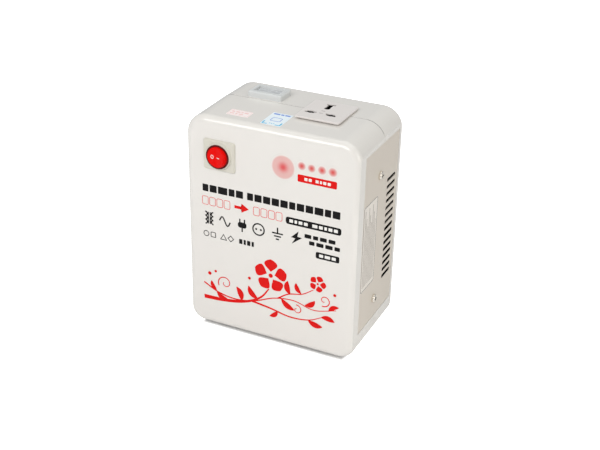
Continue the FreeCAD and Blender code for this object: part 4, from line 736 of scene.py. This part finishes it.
cyan = [ribbon([(x, y0 + TALL), (x, y0 + 1.8), (x + way * (ARM - EDGE), y0 + 1.8)], 1.5)
        for x, way in ((x0 + EDGE, 1), (x1 - EDGE, -1))]
cyan += blocks(x0 + 8.0, x1 - 8.0, y0 + 3.4, y0 + 4.6, [1, 1, 1], 1.0, radius=0.4)
print_on("square_sticker_cyan", ON_FILM, cyan, cyan_ink)
low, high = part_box("rating_label")
y0, y1, z0, z1 = low[1] / MM, high[1] / MM, low[2] / MM, high[2] / MM
SIDE = np.array(((high[0], 0, 0), (0, 1, 0), (0, 0, 1), (1, 0, 0)), float)
border = [frame_line((y0 + y1) / 2, (z0 + z1) / 2, y1 - y0 - 1.2, z1 - z0 - 1.2, 1.6, 0.45)]
print_on("label_border", SIDE, border, black_ink)
RULES, RULE_W = 9, 0.8
RULE_MARGIN, RULE_END, RULE_STEP = 4.5, 5.0, 9.0
rule_y = np.linspace(y0 + RULE_MARGIN, y1 - RULE_MARGIN, RULES)
faint = [ribbon([(y, z0 + RULE_END), (y, z1 - RULE_END - RULE_STEP * (k % 3))], RULE_W)
         for k, y in enumerate(rule_y)]
print_on("label_rules", SIDE, faint, faint_ink)

# The feet are push-in rubber studs, and the gland is black nylon with its lock nut inside.
rubber = moulded("black_moulded_rubber", "#1b1a19", 0.7, peel_mm=0.6, peel=0.12)
dress(rubber, "rubber_feet", "front_rubber_pad", "rear_rubber_pad")
dress(black_nylon, "cord_gland", "gland_locknut")

# The inner frame and the base are folded from zinc-plated sheet, and their fasteners are zinc
# plated too.
zinc_sheet = plated("zinc_plated_sheet", "#aeb0b1", 0.42, brushed_mm=0.8, depth=0.08)
zinc_bolt = plated("zinc_plated_fastener", "#b9bab8", 0.3)
dress(zinc_sheet, "base_plate", "upright_frame", "dished_washer")
dress(zinc_bolt, "base_screws", "base_nuts", "frame_screws", "spring_washer", "toroid_nut", "toroid_bolt")


# The transformer: a core of wound silicon-steel strip, enamelled copper and a wrap of polyester
# tape. All three are banded about the ring's axis, so their pattern is rings round Y.
WAVES_PER_SCALE = 20


def banded(name, light, dark, pitch_mm, roughness, metallic=0.0, depth=0.2):
    """Bands about an axis on Y, pitch_mm apart: strip edges, wires side by side, or laps of tape."""
    material, tree = new_material(name)
    where = add(tree, "TexCoord")
    axis_z = sum(corner[2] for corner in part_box("toroid_core")) / 2
    moved = add(tree, "Mapping", {"Location": (0.0, 0.0, -axis_z)}, {"Vector": (where, "Object")})
    bands = add(tree, "TexWave", {"Scale": 1000 / pitch_mm / WAVES_PER_SCALE, "Distortion": 0.3},
                {"Vector": (moved, 0)}, wave_type="RINGS", rings_direction="Y")
    tone = add(tree, "Mix", {6: linear(dark), 7: linear(light)}, {0: (bands, "Fac")}, data_type="RGBA")
    bump = add(tree, "Bump", {"Strength": depth, "Distance": 0.0003}, {"Height": (bands, "Fac")})
    skin = add(tree, "BsdfPrincipled", {"Roughness": roughness, "Metallic": metallic},
               {"Base Color": (tone, 2), "Normal": (bump, 0)})
    add(tree, "OutputMaterial", wires={"Surface": (skin, 0)})
    return material


dress(banded("wound_silicon_steel", "#6f7174", "#4a4c4f", 0.9, 0.45, metallic=1.0), "toroid_core")
dress(banded("enamelled_copper", "#c8743c", "#8a4420", 1.6, 0.3, metallic=0.8), "toroid_winding")
dress(banded("polyester_tape", "#d8c46a", "#bda54d", 12.0, 0.35, depth=0.1), "toroid_tape")
dress(moulded("cutout_phenolic", "#262021", 0.5), "thermal_cutout")

# The boards are green glass-epoxy laminate with parts in their usual cases.
laminate = moulded("green_glass_epoxy", "#1f5a37", 0.35, drift=0.1, peel_mm=0.5, peel=0.2)
dress(laminate, "control_board", "meter_board")
dress(moulded("blue_relay_case", "#2348a0", 0.3), "relay")
dress(moulded("black_capacitor_sleeve", "#1d1d22", 0.25), "smoothing_capacitor")
dress(moulded("black_epoxy_moulding", "#202023", 0.55), "control_chip")
dress(moulded("green_terminal_nylon", "#2f7d4a", 0.4), "board_terminals")
dress(moulded("white_terminal_nylon", "#dedcd4", 0.4), "mains_terminal_block")
dress(plated("turned_brass", "#cda85f", 0.25), "board_standoffs", "terminal_clamp_screws")
dress(moulded("black_pvc_insulation", "#1c1b1d", 0.4), "switch_leads", "socket_leads", "winding_leads")
